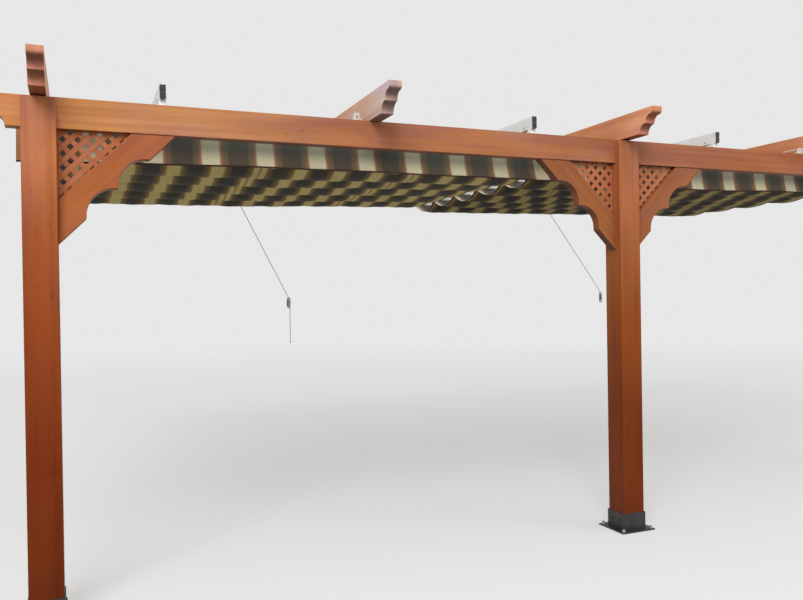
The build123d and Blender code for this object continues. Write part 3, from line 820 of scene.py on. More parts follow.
@contextmanager
def opened(piece: bpy.types.Object, select: str = "DESELECT") -> Iterator[None]:
    """Edit mode on one piece, and object mode again at the end.

    Args:
        piece: the piece.
        select: "DESELECT" for nothing selected at first, "SELECT" for everything.
    Returns:
        The stretch in edit mode, which hands nothing over.
    """
    alone(piece)
    bpy.ops.object.mode_set(mode="EDIT")
    bpy.ops.mesh.select_mode(type="FACE")
    bpy.ops.mesh.select_all(action=select)
    try:
        yield
    finally:
        bpy.ops.object.mode_set(mode="OBJECT")


def pick_faces(piece: bpy.types.Object, wanted: Callable[[Vector, Vector], bool]) -> None:
    """Selects faces from inside edit mode.

    Args:
        piece: the piece that is in edit mode.
        wanted: the test that a face's middle and normal have to pass.
    """
    bpy.ops.object.mode_set(mode="OBJECT")
    for polygon in piece.data.polygons:
        polygon.select = wanted(polygon.center, polygon.normal)
    bpy.ops.object.mode_set(mode="EDIT")


def put_down(piece: bpy.types.Object) -> bpy.types.Object:
    """Moves a piece's place, turn and size into its mesh.

    Args:
        piece: the piece.
    Returns:
        The same piece.
    """
    alone(piece)
    bpy.ops.object.transform_apply(location=True, rotation=True, scale=True)
    return piece


def apply_modifier(piece: bpy.types.Object, kind: str, **settings: object) -> None:
    """Adds one modifier and applies it.

    Args:
        piece: the piece.
        kind: the modifier's type.
        settings: its attributes.
    """
    alone(piece)
    modifier = piece.modifiers.new("step", kind)
    for key, value in settings.items():
        setattr(modifier, key, value)
    bpy.ops.object.modifier_apply(modifier="step")


def shade(piece: bpy.types.Object, angle: float = 40.0) -> None:
    """Smooth shading, with flat faces kept flat.

    Args:
        piece: the piece.
        angle: the largest angle in degrees that is smoothed over.
    """
    alone(piece)
    bpy.ops.object.shade_smooth_by_angle(angle=math.radians(angle))
    apply_modifier(piece, "WEIGHTED_NORMAL", keep_sharp=True)


def ease(piece: bpy.types.Object, width: float, segments: int = 3, angle: float = 38.0) -> None:
    """Rounds the arrises that are sharper than an angle.

    Args:
        piece: the piece to round.
        width: how far the rounding reaches on each face, in metres.
        segments: facets across the rounding.
        angle: the least angle of an arris, in degrees.
    """
    apply_modifier(
        piece, "BEVEL", width=width, segments=segments, limit_method="ANGLE",
        angle_limit=math.radians(angle), miter_outer="MITER_ARC",
    )
    shade(piece)


def thicken(piece: bpy.types.Object, thickness: float, **settings: object) -> None:
    """Gives an open sheet its thickness and smooth shading.

    Args:
        piece: the sheet.
        thickness: in metres.
        settings: other attributes of the modifier, in place of an even share to both sides.
    """
    apply_modifier(piece, "SOLIDIFY", thickness=thickness, **({"offset": 0.0} | settings))
    shade(piece, 60.0)


def add_object(name: str, data: bpy.types.ID) -> bpy.types.Object:
    """New object in the scene.

    Args:
        name: its name.
        data: its mesh, curve, light or camera.
    Returns:
        The object, at the origin.
    """
    made = bpy.data.objects.new(name, data)
    bpy.context.scene.collection.objects.link(made)
    return made


def copy_of(node: str, name: str) -> bpy.types.Object:
    """Copy of a CAD node's mesh as a new piece.

    Args:
        node: the CAD node.
        name: the piece's name.
    Returns:
        The piece, its triangles merged and its flat faces made whole.
    """
    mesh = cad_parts[node].data.copy()
    mesh.materials.clear()
    piece = add_object(name, mesh)
    alone(piece)
    if mesh.has_custom_normals:
        bpy.ops.mesh.customdata_custom_splitnormals_clear()
    with opened(piece, "SELECT"):
        bpy.ops.mesh.remove_doubles(threshold=0.00002)
        bpy.ops.mesh.dissolve_limited(angle_limit=math.radians(0.6))
    return piece


def hand_over(
    piece: bpy.types.Object, material: bpy.types.Material | None, nodes: Sequence[str] = ()
) -> bpy.types.Object:
    """Makes a finished piece part of the pergola.

    Args:
        piece: the finished piece.
        material: its finish, or None where it has its materials already.
        nodes: the CAD nodes that it stands for.
    Returns:
        The same piece.
    """
    if material is not None:
        piece.data.materials.clear()
        piece.data.materials.append(material)
    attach(piece, "root")
    if nodes:
        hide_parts(*nodes)
    return piece


def join(pieces: Sequence[bpy.types.Object], name: str) -> bpy.types.Object:
    """Makes one piece of several.

    Args:
        pieces: the pieces, of which the first takes the others in.
        name: the name of the whole.
    Returns:
        The whole.
    """
    alone(pieces[0])
    for piece in pieces[1:]:
        piece.select_set(True)
    bpy.ops.object.join()
    pieces[0].name = name
    return pieces[0]


def grid_piece(name: str, points: np.ndarray, flat: np.ndarray, turned: bool = False) -> bpy.types.Object:
    """Open sheet through a grid of points.

    Args:
        name: the piece's name.
        points: places in metres, rows by columns by 3.
        flat: where each point lies on the cloth before it was hung, rows by columns by 2.
        turned: whether its faces are turned over.
    Returns:
        The sheet with its flat measure as its UV map.
    """
    rows, columns = points.shape[:2]
    index = np.arange(rows * columns).reshape(rows, columns)
    quads = np.stack([index[:-1, :-1], index[:-1, 1:], index[1:, 1:], index[1:, :-1]], -1).reshape(-1, 4)
    mesh = bpy.data.meshes.new(name)
    mesh.from_pydata(points.reshape(-1, 3).tolist(), [], quads.tolist())
    layer = mesh.uv_layers.new(name="cut")
    layer.uv.foreach_set("vector", flat.reshape(-1, 2)[quads.reshape(-1)].astype(np.float32).ravel())
    piece = add_object(name, mesh)
    if turned:
        with opened(piece, "SELECT"):
            bpy.ops.mesh.flip_normals()
    return piece


@dataclass
class Studio:
    """Camera at the photograph's place, soft lights, pale floor."""

    lens: float = 35.146
    eye: Point = (-3.15634, -3.98525, 1.46442)
    yaw: float = 0.393921
    pitch: float = -0.005038
    roll: float = -0.015450
    sky: float = 0.66
    pale: float = 0.80
    floor_radius: float = 60.0

    def build(self) -> None:
        """Makes the camera, the world, the lights and the floor."""
        self.camera()
        self.world()
        self.lamp("key", (-8.0, -10.0, 11.0), (0.0, 0.5, 1.6), 8.0, 1500.0)
        self.lamp("fill", (9.0, -8.0, 6.0), (0.0, 0.5, 1.4), 6.0, 260.0)
        self.floor()
        bpy.context.scene.view_settings.view_transform = "Standard"

    def camera(self) -> None:
        """Makes the pinhole camera, which was fitted to the posts, beam and rafters."""
        level = Vector((math.cos(self.yaw), -math.sin(self.yaw), 0.0))
        ahead = Vector((math.sin(self.yaw), math.cos(self.yaw), 0.0))
        forward = ahead * math.cos(self.pitch) + Vector((0.0, 0.0, math.sin(self.pitch)))
        upright = level.cross(forward)
        right = level * math.cos(self.roll) + upright * math.sin(self.roll)
        up = upright * math.cos(self.roll) - level * math.sin(self.roll)
        data = bpy.data.cameras.new("camera")
        data.sensor_fit = "HORIZONTAL"
        data.sensor_width = 36.0
        data.lens = self.lens
        data.clip_end = 400.0
        camera = add_object("camera", data)
        turn = Matrix((right, up, -forward)).transposed().to_4x4()
        camera.matrix_world = Matrix.Translation(self.eye) @ turn
        bpy.context.scene.camera = camera

    @staticmethod
    def seen(recipe: Recipe) -> Signal:
        """Tells what is seen from what only lights.

        Args:
            recipe: the tree that asks.
        Returns:
            1 where it is seen straight, mirrored or through something, and 0 where it only lights.
        """
        path = recipe.node("ShaderNodeLightPath")
        mirrored = path["Is Glossy Ray"].call("MAXIMUM", path["Is Transmission Ray"])
        return path["Is Camera Ray"].call("MAXIMUM", mirrored)

    def world(self) -> None:
        """Makes the even white sky, which is seen as a pale plain background."""
        world = bpy.data.worlds.new("sky")
        bpy.context.scene.world = world
        recipe = Recipe("sky", world)
        level = self.seen(recipe) * (self.pale - self.sky) + self.sky
        light = recipe.node("ShaderNodeBackground", inputs={"Color": (1.0, 1.0, 1.0), "Strength": level})
        recipe.node("ShaderNodeOutputWorld", inputs={"Surface": light["Background"]})

    @staticmethod
    def lamp(name: str, place: Point, target: Point, size: float, power: float) -> None:
        """Makes a square soft light that faces a target.

        Args:
            name: its name.
            place: where it stands.
            target: the point that it faces.
            size: the length of its side in metres.
            power: in watts.
        """
        data = bpy.data.lights.new(name, "AREA")
        data.shape = "SQUARE"
        data.size = size
        data.energy = power
        lamp = add_object(name, data)
        lamp.location = place
        lamp.rotation_mode = "QUATERNION"
        lamp.rotation_quaternion = (Vector(target) - Vector(place)).to_track_quat("-Z", "Y")

    def floor(self) -> None:
        """Makes the floor, which fades into the background far away and throws little light up."""
        bpy.ops.object.select_all(action="DESELECT")
        bpy.ops.mesh.primitive_circle_add(vertices=96, radius=self.floor_radius, fill_type="NGON")
        floor = bpy.context.object
        floor.name = "floor"
        recipe = Recipe("pale_floor")
        x, y, _ = recipe.split(recipe.point())
        far = (x * x + y * y).call("SQRT").ramp(6.0, 20.0)
        seen = self.seen(recipe)
        ground = recipe.mix(seen, (0.20, 0.20, 0.19), (0.86, 0.86, 0.85))
        near = recipe.node("ShaderNodeBsdfDiffuse", inputs={"Color": ground})["BSDF"]
        white = {"Color": (1.0, 1.0, 1.0), "Strength": self.pale}
        glow = recipe.node("ShaderNodeEmission", inputs=white)["Emission"]
        share = (far * 0.55 + 0.45) * seen
        blend = recipe.node("ShaderNodeMixShader", inputs={0: share, 1: near, 2: glow})["Shader"]
        recipe.node("ShaderNodeOutputMaterial", inputs={"Surface": blend})
        floor.data.materials.append(recipe.owner)


@dataclass
class RopeRoute:
    """Where one awning's rope runs, as the part has it."""

    name: str
    front_x: float
    rear_x: float
    cleat_x: float
    cleat_z: float
    wrap_height: float
    turn: float = 0.012
    front_y: float = 0.025
    rear_y: float = 3.3
    top_z: float = 2.455
    wrap_y: float = 3.3835

    def __post_init__(self) -> None:
        """Works out the tops of the turns and wheels, the rope's ways and where it leaves the rear wheel."""
        self.wrap_top = Vector((self.cleat_x, self.wrap_y, self.cleat_z + self.wrap_height / 2))
        self.front_top = Vector((self.front_x, self.front_y, self.top_z))
        self.rear_top = Vector((self.rear_x, self.rear_y, self.top_z))
        self.along = (self.rear_top - self.front_top).normalized()
        fall = self.wrap_top - self.rear_top
        self.down = (fall - self.along * fall.dot(self.along)).normalized()
        centre = self.rear_top + self.down * self.turn
        reach = self.wrap_top - centre
        lean = math.atan2(reach.dot(self.along), reach.dot(self.down)) - math.asin(self.turn / reach.length)
        self.rear_exit = centre + (self.along * math.cos(lean) - self.down * math.sin(lean)) * self.turn


@dataclass
class Ropes:
    """Haul lines over the wheels, pull cords down to the cleats and their turns there."""

    diameter: float = 0.006
    clip_half: float = 0.012
    haul_length: float = 3.5
    straight_from: float = 6.0
    leave: float = 0.04
    arrive: float = 0.06
    tuck: Point = (0.002, 0.004, -0.012)
    inner_half: tuple[float, float] = (0.0105, 0.033)
    outer_half_wide: float = 0.0168
    wrap_margin: float = 0.0035
    layer_margin: float = 0.0065
    inner_turns: int = 3
    outer_turns: int = 2
    steps: int = 12
    cleat_back_y: float = 3.3913
    inner_depth: float = 0.0148
    outer_depth: float = 0.011
    oval: tuple[float, float] = (0.8, 0.7)
    tail_start: Point = (0.011, -0.002, -0.012)
    tail_offset: float = 0.012
    tail_levels: tuple[float, ...] = (1.40, 1.364, 1.33, 1.20, 1.05)
    knot_z: float = 1.041
    knot_steps: int = 14
    knot_turns: float = 1.25
    knot_half: Point = (0.0045, 0.0042, 0.006)
    knot_height: float = 0.0125
    knot_rope: float = 0.05
    lengths: dict[str, float] = field(default_factory=lambda: {"left": 2.395, "right": 2.195})
    routes: dict[str, RopeRoute] = field(default_factory=lambda: {
        "left": RopeRoute("left", -1.738, -1.795, -1.268, 1.416, 0.104),
        "right": RopeRoute("right", 1.562, 1.562, 2.360, 1.417, 0.126),
    })

    def build(self) -> list[bpy.types.Object]:
        """Makes both awnings' ropes."""
        cords = [self.pull_cord(route) for route in self.routes.values()]
        return cords + [self.haul_line(route) for route in self.routes.values()]

    def curve(self, name: str, points: Sequence[Vector]) -> bpy.types.Object:
        """Round rope along one smooth open spline.

        Args:
            name: the piece's name.
            points: the spline's control points.
        Returns:
            The rope.
        """
        data = bpy.data.curves.new(name, "CURVE")
        data.dimensions = "3D"
        data.resolution_u = 8
        data.bevel_depth = self.diameter / 2
        data.bevel_resolution = 3
        data.use_fill_caps = True
        spline = data.splines.new("NURBS")
        spline.points.add(len(points) - 1)
        for target, point in zip(spline.points, points):
            target.co = (*point, 1.0)
        spline.order_u = 3
        spline.use_endpoint_u = True
        return add_object(name, data)

    def haul_line(self, route: RopeRoute) -> bpy.types.Object:
        """Tight rope from the first bar's clip round the front wheel and over the rear one.

        Args:
            route: where it runs.
        Returns:
            The rope.
        """
        front, rear = route.front_top, route.rear_top
        low = front + Vector((0, 0, -2 * route.turn))
        forth = route.along * route.turn
        straight = forth * self.straight_from
        clip_run = (FIRST_BAR_Y - self.clip_half - route.front_y) / route.along.y
        drop = (route.wrap_top - route.rear_exit).normalized()
        offset = route.rear_exit - rear
        corner = route.rear_exit - drop * (offset.dot(route.down) / drop.dot(route.down))
        points = [
            low + route.along * clip_run, low + forth, low - forth, front - forth, front + forth,
            front + straight, rear - straight, rear * 2 - corner, corner, route.rear_exit,
        ]
        line = self.curve(f"haul_line_{route.name}", points)
        material = RopeFinish(f"haul_rope_{route.name}", self.haul_length).build()
        return hand_over(line, material, ["haul_lines"])

    def turns(self, route: RopeRoute) -> list[Vector]:
        """Oval turns round the cleat's stem, the inner ones from its back forwards and the outer ones back.

        Args:
            route: whose cleat it is.
        Returns:
            The turns' control points.
        """
        middle = Vector((route.cleat_x, 0.0, route.cleat_z))
        outer = (self.outer_half_wide, route.wrap_height / 2 - self.wrap_margin)
        inner = (self.inner_half[0], min(self.inner_half[1], outer[1] - self.layer_margin))
        total_inner, total_outer = self.inner_turns * self.steps, self.outer_turns * self.steps
        points = []
        for step in range(total_inner + total_outer + 1):
            angle = math.tau * step / self.steps
            if step < total_inner:
                half, y = inner, self.cleat_back_y - self.inner_depth * step / total_inner
            else:
                share = (step - total_inner) / total_outer
                grown = min(1.0, share * 3)
                half = tuple(a + (b - a) * grown for a, b in zip(inner, outer))
                y = self.cleat_back_y - self.inner_depth + self.outer_depth * share
            wide, high = (
                math.copysign(abs(value) ** power, value)
                for value, power in zip((math.sin(angle), math.cos(angle)), self.oval)
            )
            points.append(middle + Vector((half[0] * wide, y, half[1] * high)))
        return points

    def pull_cord(self, route: RopeRoute) -> bpy.types.Object:
        """One rope from the rear wheel down to the cleat, its turns there and its free end.

        Args:
            route: where it runs.
        Returns:
            The rope.
        """
        top = route.wrap_top
        slope = (top - route.rear_exit).normalized()
        points = [route.rear_exit, route.rear_exit + slope * self.leave, top - slope * self.arrive]
        points += [top + Vector(self.tuck)]
        points += self.turns(route)
        pieces = []
        if route.name == "left":
            x = route.cleat_x + self.tail_offset
            points.append(points[-1] + Vector(self.tail_start))
            points += [Vector((x, route.wrap_y, level)) for level in self.tail_levels]
            pieces = [self.knot(Vector((x, route.wrap_y, self.knot_z)))]
        cord = self.curve(f"free_rope_{route.name}", points)
        length = self.lengths[route.name]
        material = RopeFinish(f"pull_rope_{route.name}", length).build()
        hand_over(cord, material, [f"pull_cord_{route.name}", f"cord_wrap_{route.name}"])
        return cord

    def knot(self, middle: Vector) -> bpy.types.Object:
        """Knot at the free end, as a short tight coil of the same rope.

        Args:
            middle: where the knot hangs.
        Returns:
            The knot.
        """
        wide, deep, top = self.knot_half
        loop = []
        for step in range(self.knot_steps + 1):
            share = step / self.knot_steps
            angle = math.tau * share * self.knot_turns
            place = (wide * math.sin(angle), deep * math.cos(angle), top - self.knot_height * share)
            loop.append(middle + Vector(place))
        return hand_over(
            self.curve("cord_knot_left", loop), RopeFinish("knot_rope", self.knot_rope).build()
        )


# Tones at places along each timber, in metres on the fibres' axis; the posts' darker, redder feet are painted
# shade
POST_TONES = {
    "left": (
        (0.0, linear(106, 44, 8)), (0.75, linear(130, 54, 10)), (1.35, linear(150, 72, 30)),
        (1.8, linear(174, 96, 54)), (2.12, linear(200, 126, 82)), (2.40, linear(186, 122, 90)),
    ),
    "others": (
        (0.0, linear(116, 50, 8)), (0.75, linear(126, 56, 10)), (1.35, linear(156, 82, 28)),
        (1.8, linear(174, 104, 56)), (2.12, linear(186, 114, 74)), (2.40, linear(180, 116, 80)),
    ),
}
BEAM_TONES = (
    (-3.56, linear(216, 148, 90)), (-2.6, linear(197, 140, 100)), (-1.7, linear(180, 118, 85)),
    (-1.0, linear(184, 122, 88)), (0.0, linear(172, 110, 77)), (1.0, linear(180, 111, 74)),
    (3.56, linear(170, 105, 72)),
)
RAFTER_TONES = {
    2: ((-0.33, linear(218, 202, 200)), (0.5, linear(208, 150, 116)), (3.4, linear(170, 108, 76))),
    "others": ((-0.33, linear(238, 172, 140)), (0.1, linear(206, 140, 102)), (3.4, linear(170, 108, 76))),
}
LEDGER_TONES = ((-3.4, linear(152, 96, 68)), (3.4, linear(146, 90, 62)))
BRACE_TONES = {
    "left_outer": ((-1.2, linear(184, 108, 58)), (-0.2, linear(180, 109, 72))),
    "others": ((-4.0, linear(162, 100, 60)), (4.0, linear(162, 100, 62))),
}
SLAT_TONES = ((-4.0, linear(198, 126, 84)), (4.0, linear(192, 122, 84)))
POST_KNOTS = (
    (-3.306, -0.075, 1.529), (-3.253, -0.075, 1.487), (-3.289, -0.075, 1.360), (-3.318, -0.075, 2.118),
    (-3.330, -0.075, 1.960),
)
BEAM_KNOTS = ((-2.14, -0.035, 2.303), (-2.06, -0.035, 2.33), (-1.69, -0.035, 2.318), (-1.41, -0.035, 2.36))


@dataclass
class TimberFrame:
    """Posts, beam, rafters, ledger, knee braces and lattices, each cut from its own board."""

    arris: float = 0.0035
    lattice_arris: float = 0.0012
    corner_in: float = 0.075
    brace_middle: float = 0.27
    first_slats: dict[str, tuple[float, float]] = field(default_factory=lambda: {
        "left_outer": (0.0235, -0.0105), "left_inner": (-0.009, 0.0045),
        "right_inner": (0.0225, -0.0155), "right_outer": (-0.009, -0.0105),
    })

    def build(self) -> list[bpy.types.Object]:
        """Makes every timber.

        Returns:
            The timbers and the lattices.
        """
        made = [self.post(name, x) for name, x in POSTS.items()]
        beam = PineFinish("pine_beam", Grain.ALONG_X, BEAM_TONES, 1.9, (0.05, 0.09), BEAM_KNOTS)
        ledger = PineFinish("pine_ledger", Grain.ALONG_X, LEDGER_TONES, 7.3, (3.30, -0.05))
        made += [self.timber("front_beam", beam), self.timber("wall_ledger", ledger)]
        made += [self.rafter(number) for number in range(1, 6)]
        for name, (x, side) in CORNERS.items():
            made += self.corner(name, x, side)
        return made

    def post(self, name: str, x: float) -> bpy.types.Object:
        """One post.

        Args:
            name: which of the three.
            x: its middle.
        Returns:
            The post, with the knots that are known of the left one.
        """
        tones = POST_TONES.get(name, POST_TONES["others"])
        marks = POST_KNOTS if name == "left" else ()
        heart = (x + 0.03, -0.09)
        finish = PineFinish(f"pine_post_{name}", Grain.UPRIGHT, tones, x * 1.37 + 5.0, heart, marks)
        return self.timber(f"post_{name}", finish)

    def rafter(self, number: int) -> bpy.types.Object:
        """One rafter.

        Args:
            number: from 1 at the left to 5.
        Returns:
            The rafter, whose heart lies lower from board to board.
        """
        heart = ((number - 3) * BAY / 2 + 0.06, 0.19 - 0.04 * number)
        tones = RAFTER_TONES.get(number, RAFTER_TONES["others"])
        finish = PineFinish(f"pine_rafter_{number}", Grain.ALONG_Y, tones, 3.1 * number, heart)
        return self.timber(f"rafter_{number}", finish)

    def corner(self, name: str, post_x: float, side: int) -> list[bpy.types.Object]:
        """One knee brace and the lattice in its corner.

        Args:
            name: which of the four corners.
            post_x: the middle of its post.
            side: 1 where the corner lies to the right of the post, and -1 to the left.
        Returns:
            The brace and the lattice.
        """
        grain = Grain.RISING if side > 0 else Grain.FALLING
        x, z = post_x + side * self.brace_middle, BEAM_BOTTOM - self.brace_middle
        heart = (0.07, (x - side * z) * DIAGONAL + 0.09)
        tones = BRACE_TONES.get(name, BRACE_TONES["others"])
        brace = PineFinish(f"pine_brace_{name}", grain, tones, post_x * 2.3 + side, heart)
        slats = SlatFinish(
            f"pine_slats_{name}", grain, SLAT_TONES, post_x + 4.0, (0.09, heart[1]), side=side,
            corner=(post_x + side * self.corner_in, BEAM_BOTTOM), first_slats=self.first_slats[name],
        )
        lattice = copy_of(f"lattice_{name}", f"lattice_slats_{name}")
        ease(lattice, self.lattice_arris, segments=1)
        hand_over(lattice, slats.build(), [f"lattice_{name}"])
        return [self.timber(f"brace_{name}", brace), lattice]

    def timber(self, node: str, finish: PineFinish) -> bpy.types.Object:
        """One timber with its arrises taken off and its cut ends marked for the finish.

        Args:
            node: the CAD node.
            finish: the board that it is cut from.
        Returns:
            The timber.
        """
        piece = copy_of(node, f"timber_{node}")
        ease(piece, self.arris)
        fibres = Vector(finish.grain.value)
        cut = piece.data.attributes.new("end_grain", "FLOAT", "FACE")
        cut.data.foreach_set("value", [abs(face.normal.dot(fibres)) for face in piece.data.polygons])
        return hand_over(piece, finish.build(), [node])


@dataclass
class Fittings:
    """Rigid pieces of metal and plastic, eased from the part's own solids."""

    black: tuple[Colour, Colour] = ((0.016, 0.015, 0.015), (0.05, 0.045, 0.04))
    zinc: tuple[Colour, Colour] = ((0.50, 0.51, 0.52), (0.33, 0.34, 0.35))
    white: tuple[Colour, Colour] = (linear(240, 243, 242), linear(214, 217, 214))
    moulding: tuple[Colour, Colour] = ((0.018, 0.018, 0.019), (0.07, 0.065, 0.06))
    nylon: tuple[Colour, Colour] = (linear(222, 221, 214), linear(160, 156, 146))

    def build(self) -> list[bpy.types.Object]:
        """Makes shoes, hangers, rails, caps, brackets, bars, carriages, pulleys and cleats.

        Returns:
            These pieces, and then the bolts, nuts and screws.
        """
        black = MetalFinish("black_paint", *self.black, 0.42).build()
        zinc = MetalFinish("zinc_plate", *self.zinc, 0.38, 0.9, spangle=0.5).build()
        white = MetalFinish("white_lacquer", *self.white, 0.34, drawn=True).build()
        caps = MouldedFinish("black_moulding", *self.moulding, 0.5).build()
        nylon = MouldedFinish("white_nylon", *self.nylon, 0.45).build()
        rows = [(f"shoe_{name}", 0.0012, 2, black, Slot.BLACK_STEEL) for name in POSTS]
        rows.append(("rafter_hangers", 0.0005, 1, zinc, Slot.ZINC_STEEL))
        rows += [(f"awning_rail_{number}", 0.0007, 2, white, Slot.ALUMINIUM) for number in range(1, 5)]
        rows.append(("rail_caps", 0.0009, 2, caps, Slot.BLACK_PLASTIC))
        rows.append(("rail_brackets", 0.0007, 2, white, Slot.ALUMINIUM))
        for name in AWNINGS:
            rows.append((f"awning_bars_{name}", 0.0004, 1, white, Slot.ALUMINIUM))
            rows.append((f"bar_carriages_{name}", 0.001, 2, nylon, Slot.WHITE_PLASTIC))
        rows.append(("cord_pulleys", 0.001, 2, nylon, Slot.WHITE_PLASTIC))
        rows.append(("cord_cleats", 0.0012, 2, zinc, Slot.ZINC_STEEL))
        return [self.eased(*row) for row in rows] + Fixings(zinc, black).build()

    @staticmethod
    def eased(
        node: str, width: float, segments: int, material: bpy.types.Material, slot: Slot
    ) -> bpy.types.Object:
        """Copy of a node with its edges broken.

        Args:
            node: the CAD node.
            width: how far the rounding reaches on each face, in metres.
            segments: facets across the rounding.
            material: its finish.
            slot: the record's slot for it, which is not used.
        Returns:
            The piece.
        """
        piece = copy_of(node, f"dressed_{node}")
        ease(piece, width, segments)
        return hand_over(piece, material, [node])


@dataclass(frozen=True)
class HeadSize:
    """One kind of bolt head, nut or screw head: its hexagon's width over the flats and height, its
    washer's diameter, 0 for none, and how far a threaded stud stands out of it, 0 for a plain head.
    """

    across: float
    high: float
    washer: float = 0.0
    stud: float = 0.0


@dataclass
class Fixings:
    """Bolt heads, nuts and screws: each kind is modelled once and copied to its places."""

    zinc: bpy.types.Material
    black: bpy.types.Material
    ledger_bolt: HeadSize = HeadSize(0.019, 0.0075, 0.028)
    foot_screw: HeadSize = HeadSize(0.0085, 0.0045, 0.0105)
    plate_screw: HeadSize = HeadSize(0.010, 0.005, 0.014)
    anchor_nut: HeadSize = HeadSize(0.019, 0.010, 0.024, stud=0.006)
    cap_screw: HeadSize = HeadSize(0.009, 0.0016)
    shoe_screw: HeadSize = HeadSize(0.013, 0.006)
    washer_thick: float = 0.002
    ledger_reach: float = 2.475
    ledger_half: float = 0.6
    foot_half: float = 0.024
    foot_top: float = 2.412
    plate_half: float = 0.022
    plate_front: float = 3.326
    plate_drop: float = 0.002
    anchor_half: float = 0.1
    shoe_plate: float = 0.008
    cup_half: float = 0.080
    cup_screw_half: float = 0.035
    cup_screw_z: float = 0.062
    rail_half: float = 0.015
    cap_y: float = 0.062
    cap_z: float = 2.452

    def build(self) -> list[bpy.types.Object]:
        """Makes all of them.

        Returns:
            One piece for each kind.
        """
        forward, up, aside = Vector((0, -1, 0)), Vector((0, 0, 1)), Vector((1, 0, 0))
        at_rails = [(x, side) for x in RAIL_X for side in BOTH]
        at_posts = [(x, side) for x in POSTS.values() for side in BOTH]
        bolt_x = [bay * self.ledger_reach + end * self.ledger_half for bay in (-1, 0, 1) for end in BOTH]
        ledger = [(Vector((x, LEDGER_FRONT, RAFTER_MIDDLE)), forward) for x in bolt_x]
        feet = [(Vector((x + side * self.foot_half, 0.0, self.foot_top)), up) for x, side in at_rails]
        plate_z = RAFTER_MIDDLE - self.plate_drop
        plates = [
            (Vector((x + side * self.plate_half, self.plate_front, plate_z)), forward) for x, side in at_rails
        ]
        anchors = [
            (Vector((x + side * self.anchor_half, end * self.anchor_half, self.shoe_plate)), up)
            for x, side in at_posts for end in BOTH
        ]
        caps = [
            (Vector((x + side * self.rail_half, self.cap_y, self.cap_z)), aside * side)
            for x, side in at_rails
        ]
        cups = [
            (Vector((x + side * self.cup_half, end * self.cup_screw_half, self.cup_screw_z)), aside * side)
            for x, side in at_posts for end in BOTH
        ]
        zinc, black = (self.zinc, Slot.ZINC_STEEL), (self.black, Slot.BLACK_STEEL)
        return [
            self.spread("ledger_bolts", self.bolt(self.ledger_bolt), ledger, *zinc),
            self.spread("rail_foot_screws", self.bolt(self.foot_screw), feet, *zinc),
            self.spread("rail_plate_screws", self.bolt(self.plate_screw), plates, *zinc),
            self.spread("anchor_nuts", self.bolt(self.anchor_nut), anchors, *zinc),
            self.spread("cap_screws", self.bolt(self.cap_screw), caps, self.black, Slot.BLACK_PLASTIC),
            self.spread("shoe_screws", self.bolt(self.shoe_screw), cups, *black),
        ]

    def bolt(self, size: HeadSize) -> bpy.types.Object:
        """Hexagon head with its top edge turned off, on its washer if it has one, with a stud's end or
        a dished top.

        Args:
            size: its measures.
        Returns:
            The head, its foot at the origin and its axis up.
        """
        across, high, washer = size.across, size.high, size.washer
        lift = self.washer_thick if washer else 0.0
        dish = 0.0 if size.stud else -across * 0.03
        parts = [self.disc(6, across / math.sqrt(3), high, lift, across * 0.07, dish)]
        if washer:
            parts.append(self.disc(24, washer / 2, self.washer_thick, 0.0, washer * 0.03, 0.0))
        if size.stud:
            parts.append(self.disc(16, across * 0.31, size.stud, lift + high, across * 0.05, 0.0))
        head = join(parts, "bolt_pattern")
        shade(head, 35.0)
        return head

    @staticmethod
    def disc(
        sides: int, radius: float, high: float, foot: float, chamfer: float, dish: float
    ) -> bpy.types.Object:
        """Prism with its top edge chamfered.

        Args:
            sides: how many.
            radius: of its corners.
            high: its height.
            foot: the level that it stands on.
            chamfer: how far the chamfer reaches in on the top.
            dish: how far the top's middle is moved up, 0 for a flat top.
        Returns:
            The prism.
        """
        bpy.ops.object.select_all(action="DESELECT")
        bpy.ops.mesh.primitive_cylinder_add(
            vertices=sides, radius=radius, depth=high, location=(0, 0, foot + high / 2)
        )
        piece = put_down(bpy.context.object)
        with opened(piece):
            pick_faces(piece, lambda middle, normal: normal.z > 0.9)
            bpy.ops.mesh.inset(thickness=chamfer)
            bpy.ops.mesh.inset(thickness=radius * 0.18)
            bpy.ops.transform.translate(value=(0, 0, dish))
        for vertex in piece.data.vertices:
            if abs(vertex.co.z - foot - high) < 1e-6 and vertex.co.xy.length > radius * 0.99:
                vertex.co.z -= chamfer * 0.6
        return piece

    @staticmethod
    def spread(
        name: str, master: bpy.types.Object, places: Sequence[tuple[Vector, Vector]],
        material: bpy.types.Material, slot: Slot,
    ) -> bpy.types.Object:
        """Copies of one head at their places, made one piece.

        Args:
            name: the piece's name.
            master: the head, which is removed afterwards.
            places: where each copy's foot stands and which way its axis points.
            material: its finish.
            slot: the record's slot for it, which is not used.
        Returns:
            The piece.
        """
        copies = []
        for foot, axis in places:
            mesh = master.data.copy()
            turn = Vector((0, 0, 1)).rotation_difference(axis).to_matrix().to_4x4()
            mesh.transform(Matrix.Translation(foot) @ turn)
            copies.append(add_object(name, mesh))
        bpy.data.objects.remove(master)
        return hand_over(join(copies, name), material)


@dataclass(frozen=True)
class AwningSide:
    """What differs between the two awnings.

    The stripe and the flap start at the middle of a beige stripe. The sags are the depths of the
    waves at the front and at the back, at four places from the inner edge out. A dip is a low place
    in the flap's hem: its middle, its width and its depth.
    """

    side: int
    stripe_start: float
    flap_start: float
    # painted glow of the underside, standing for light through the cloth
    glow: float
    front_sag: tuple[float, ...]
    back_sag: tuple[float, ...]
    dips: tuple[Point, ...]
    lean: float


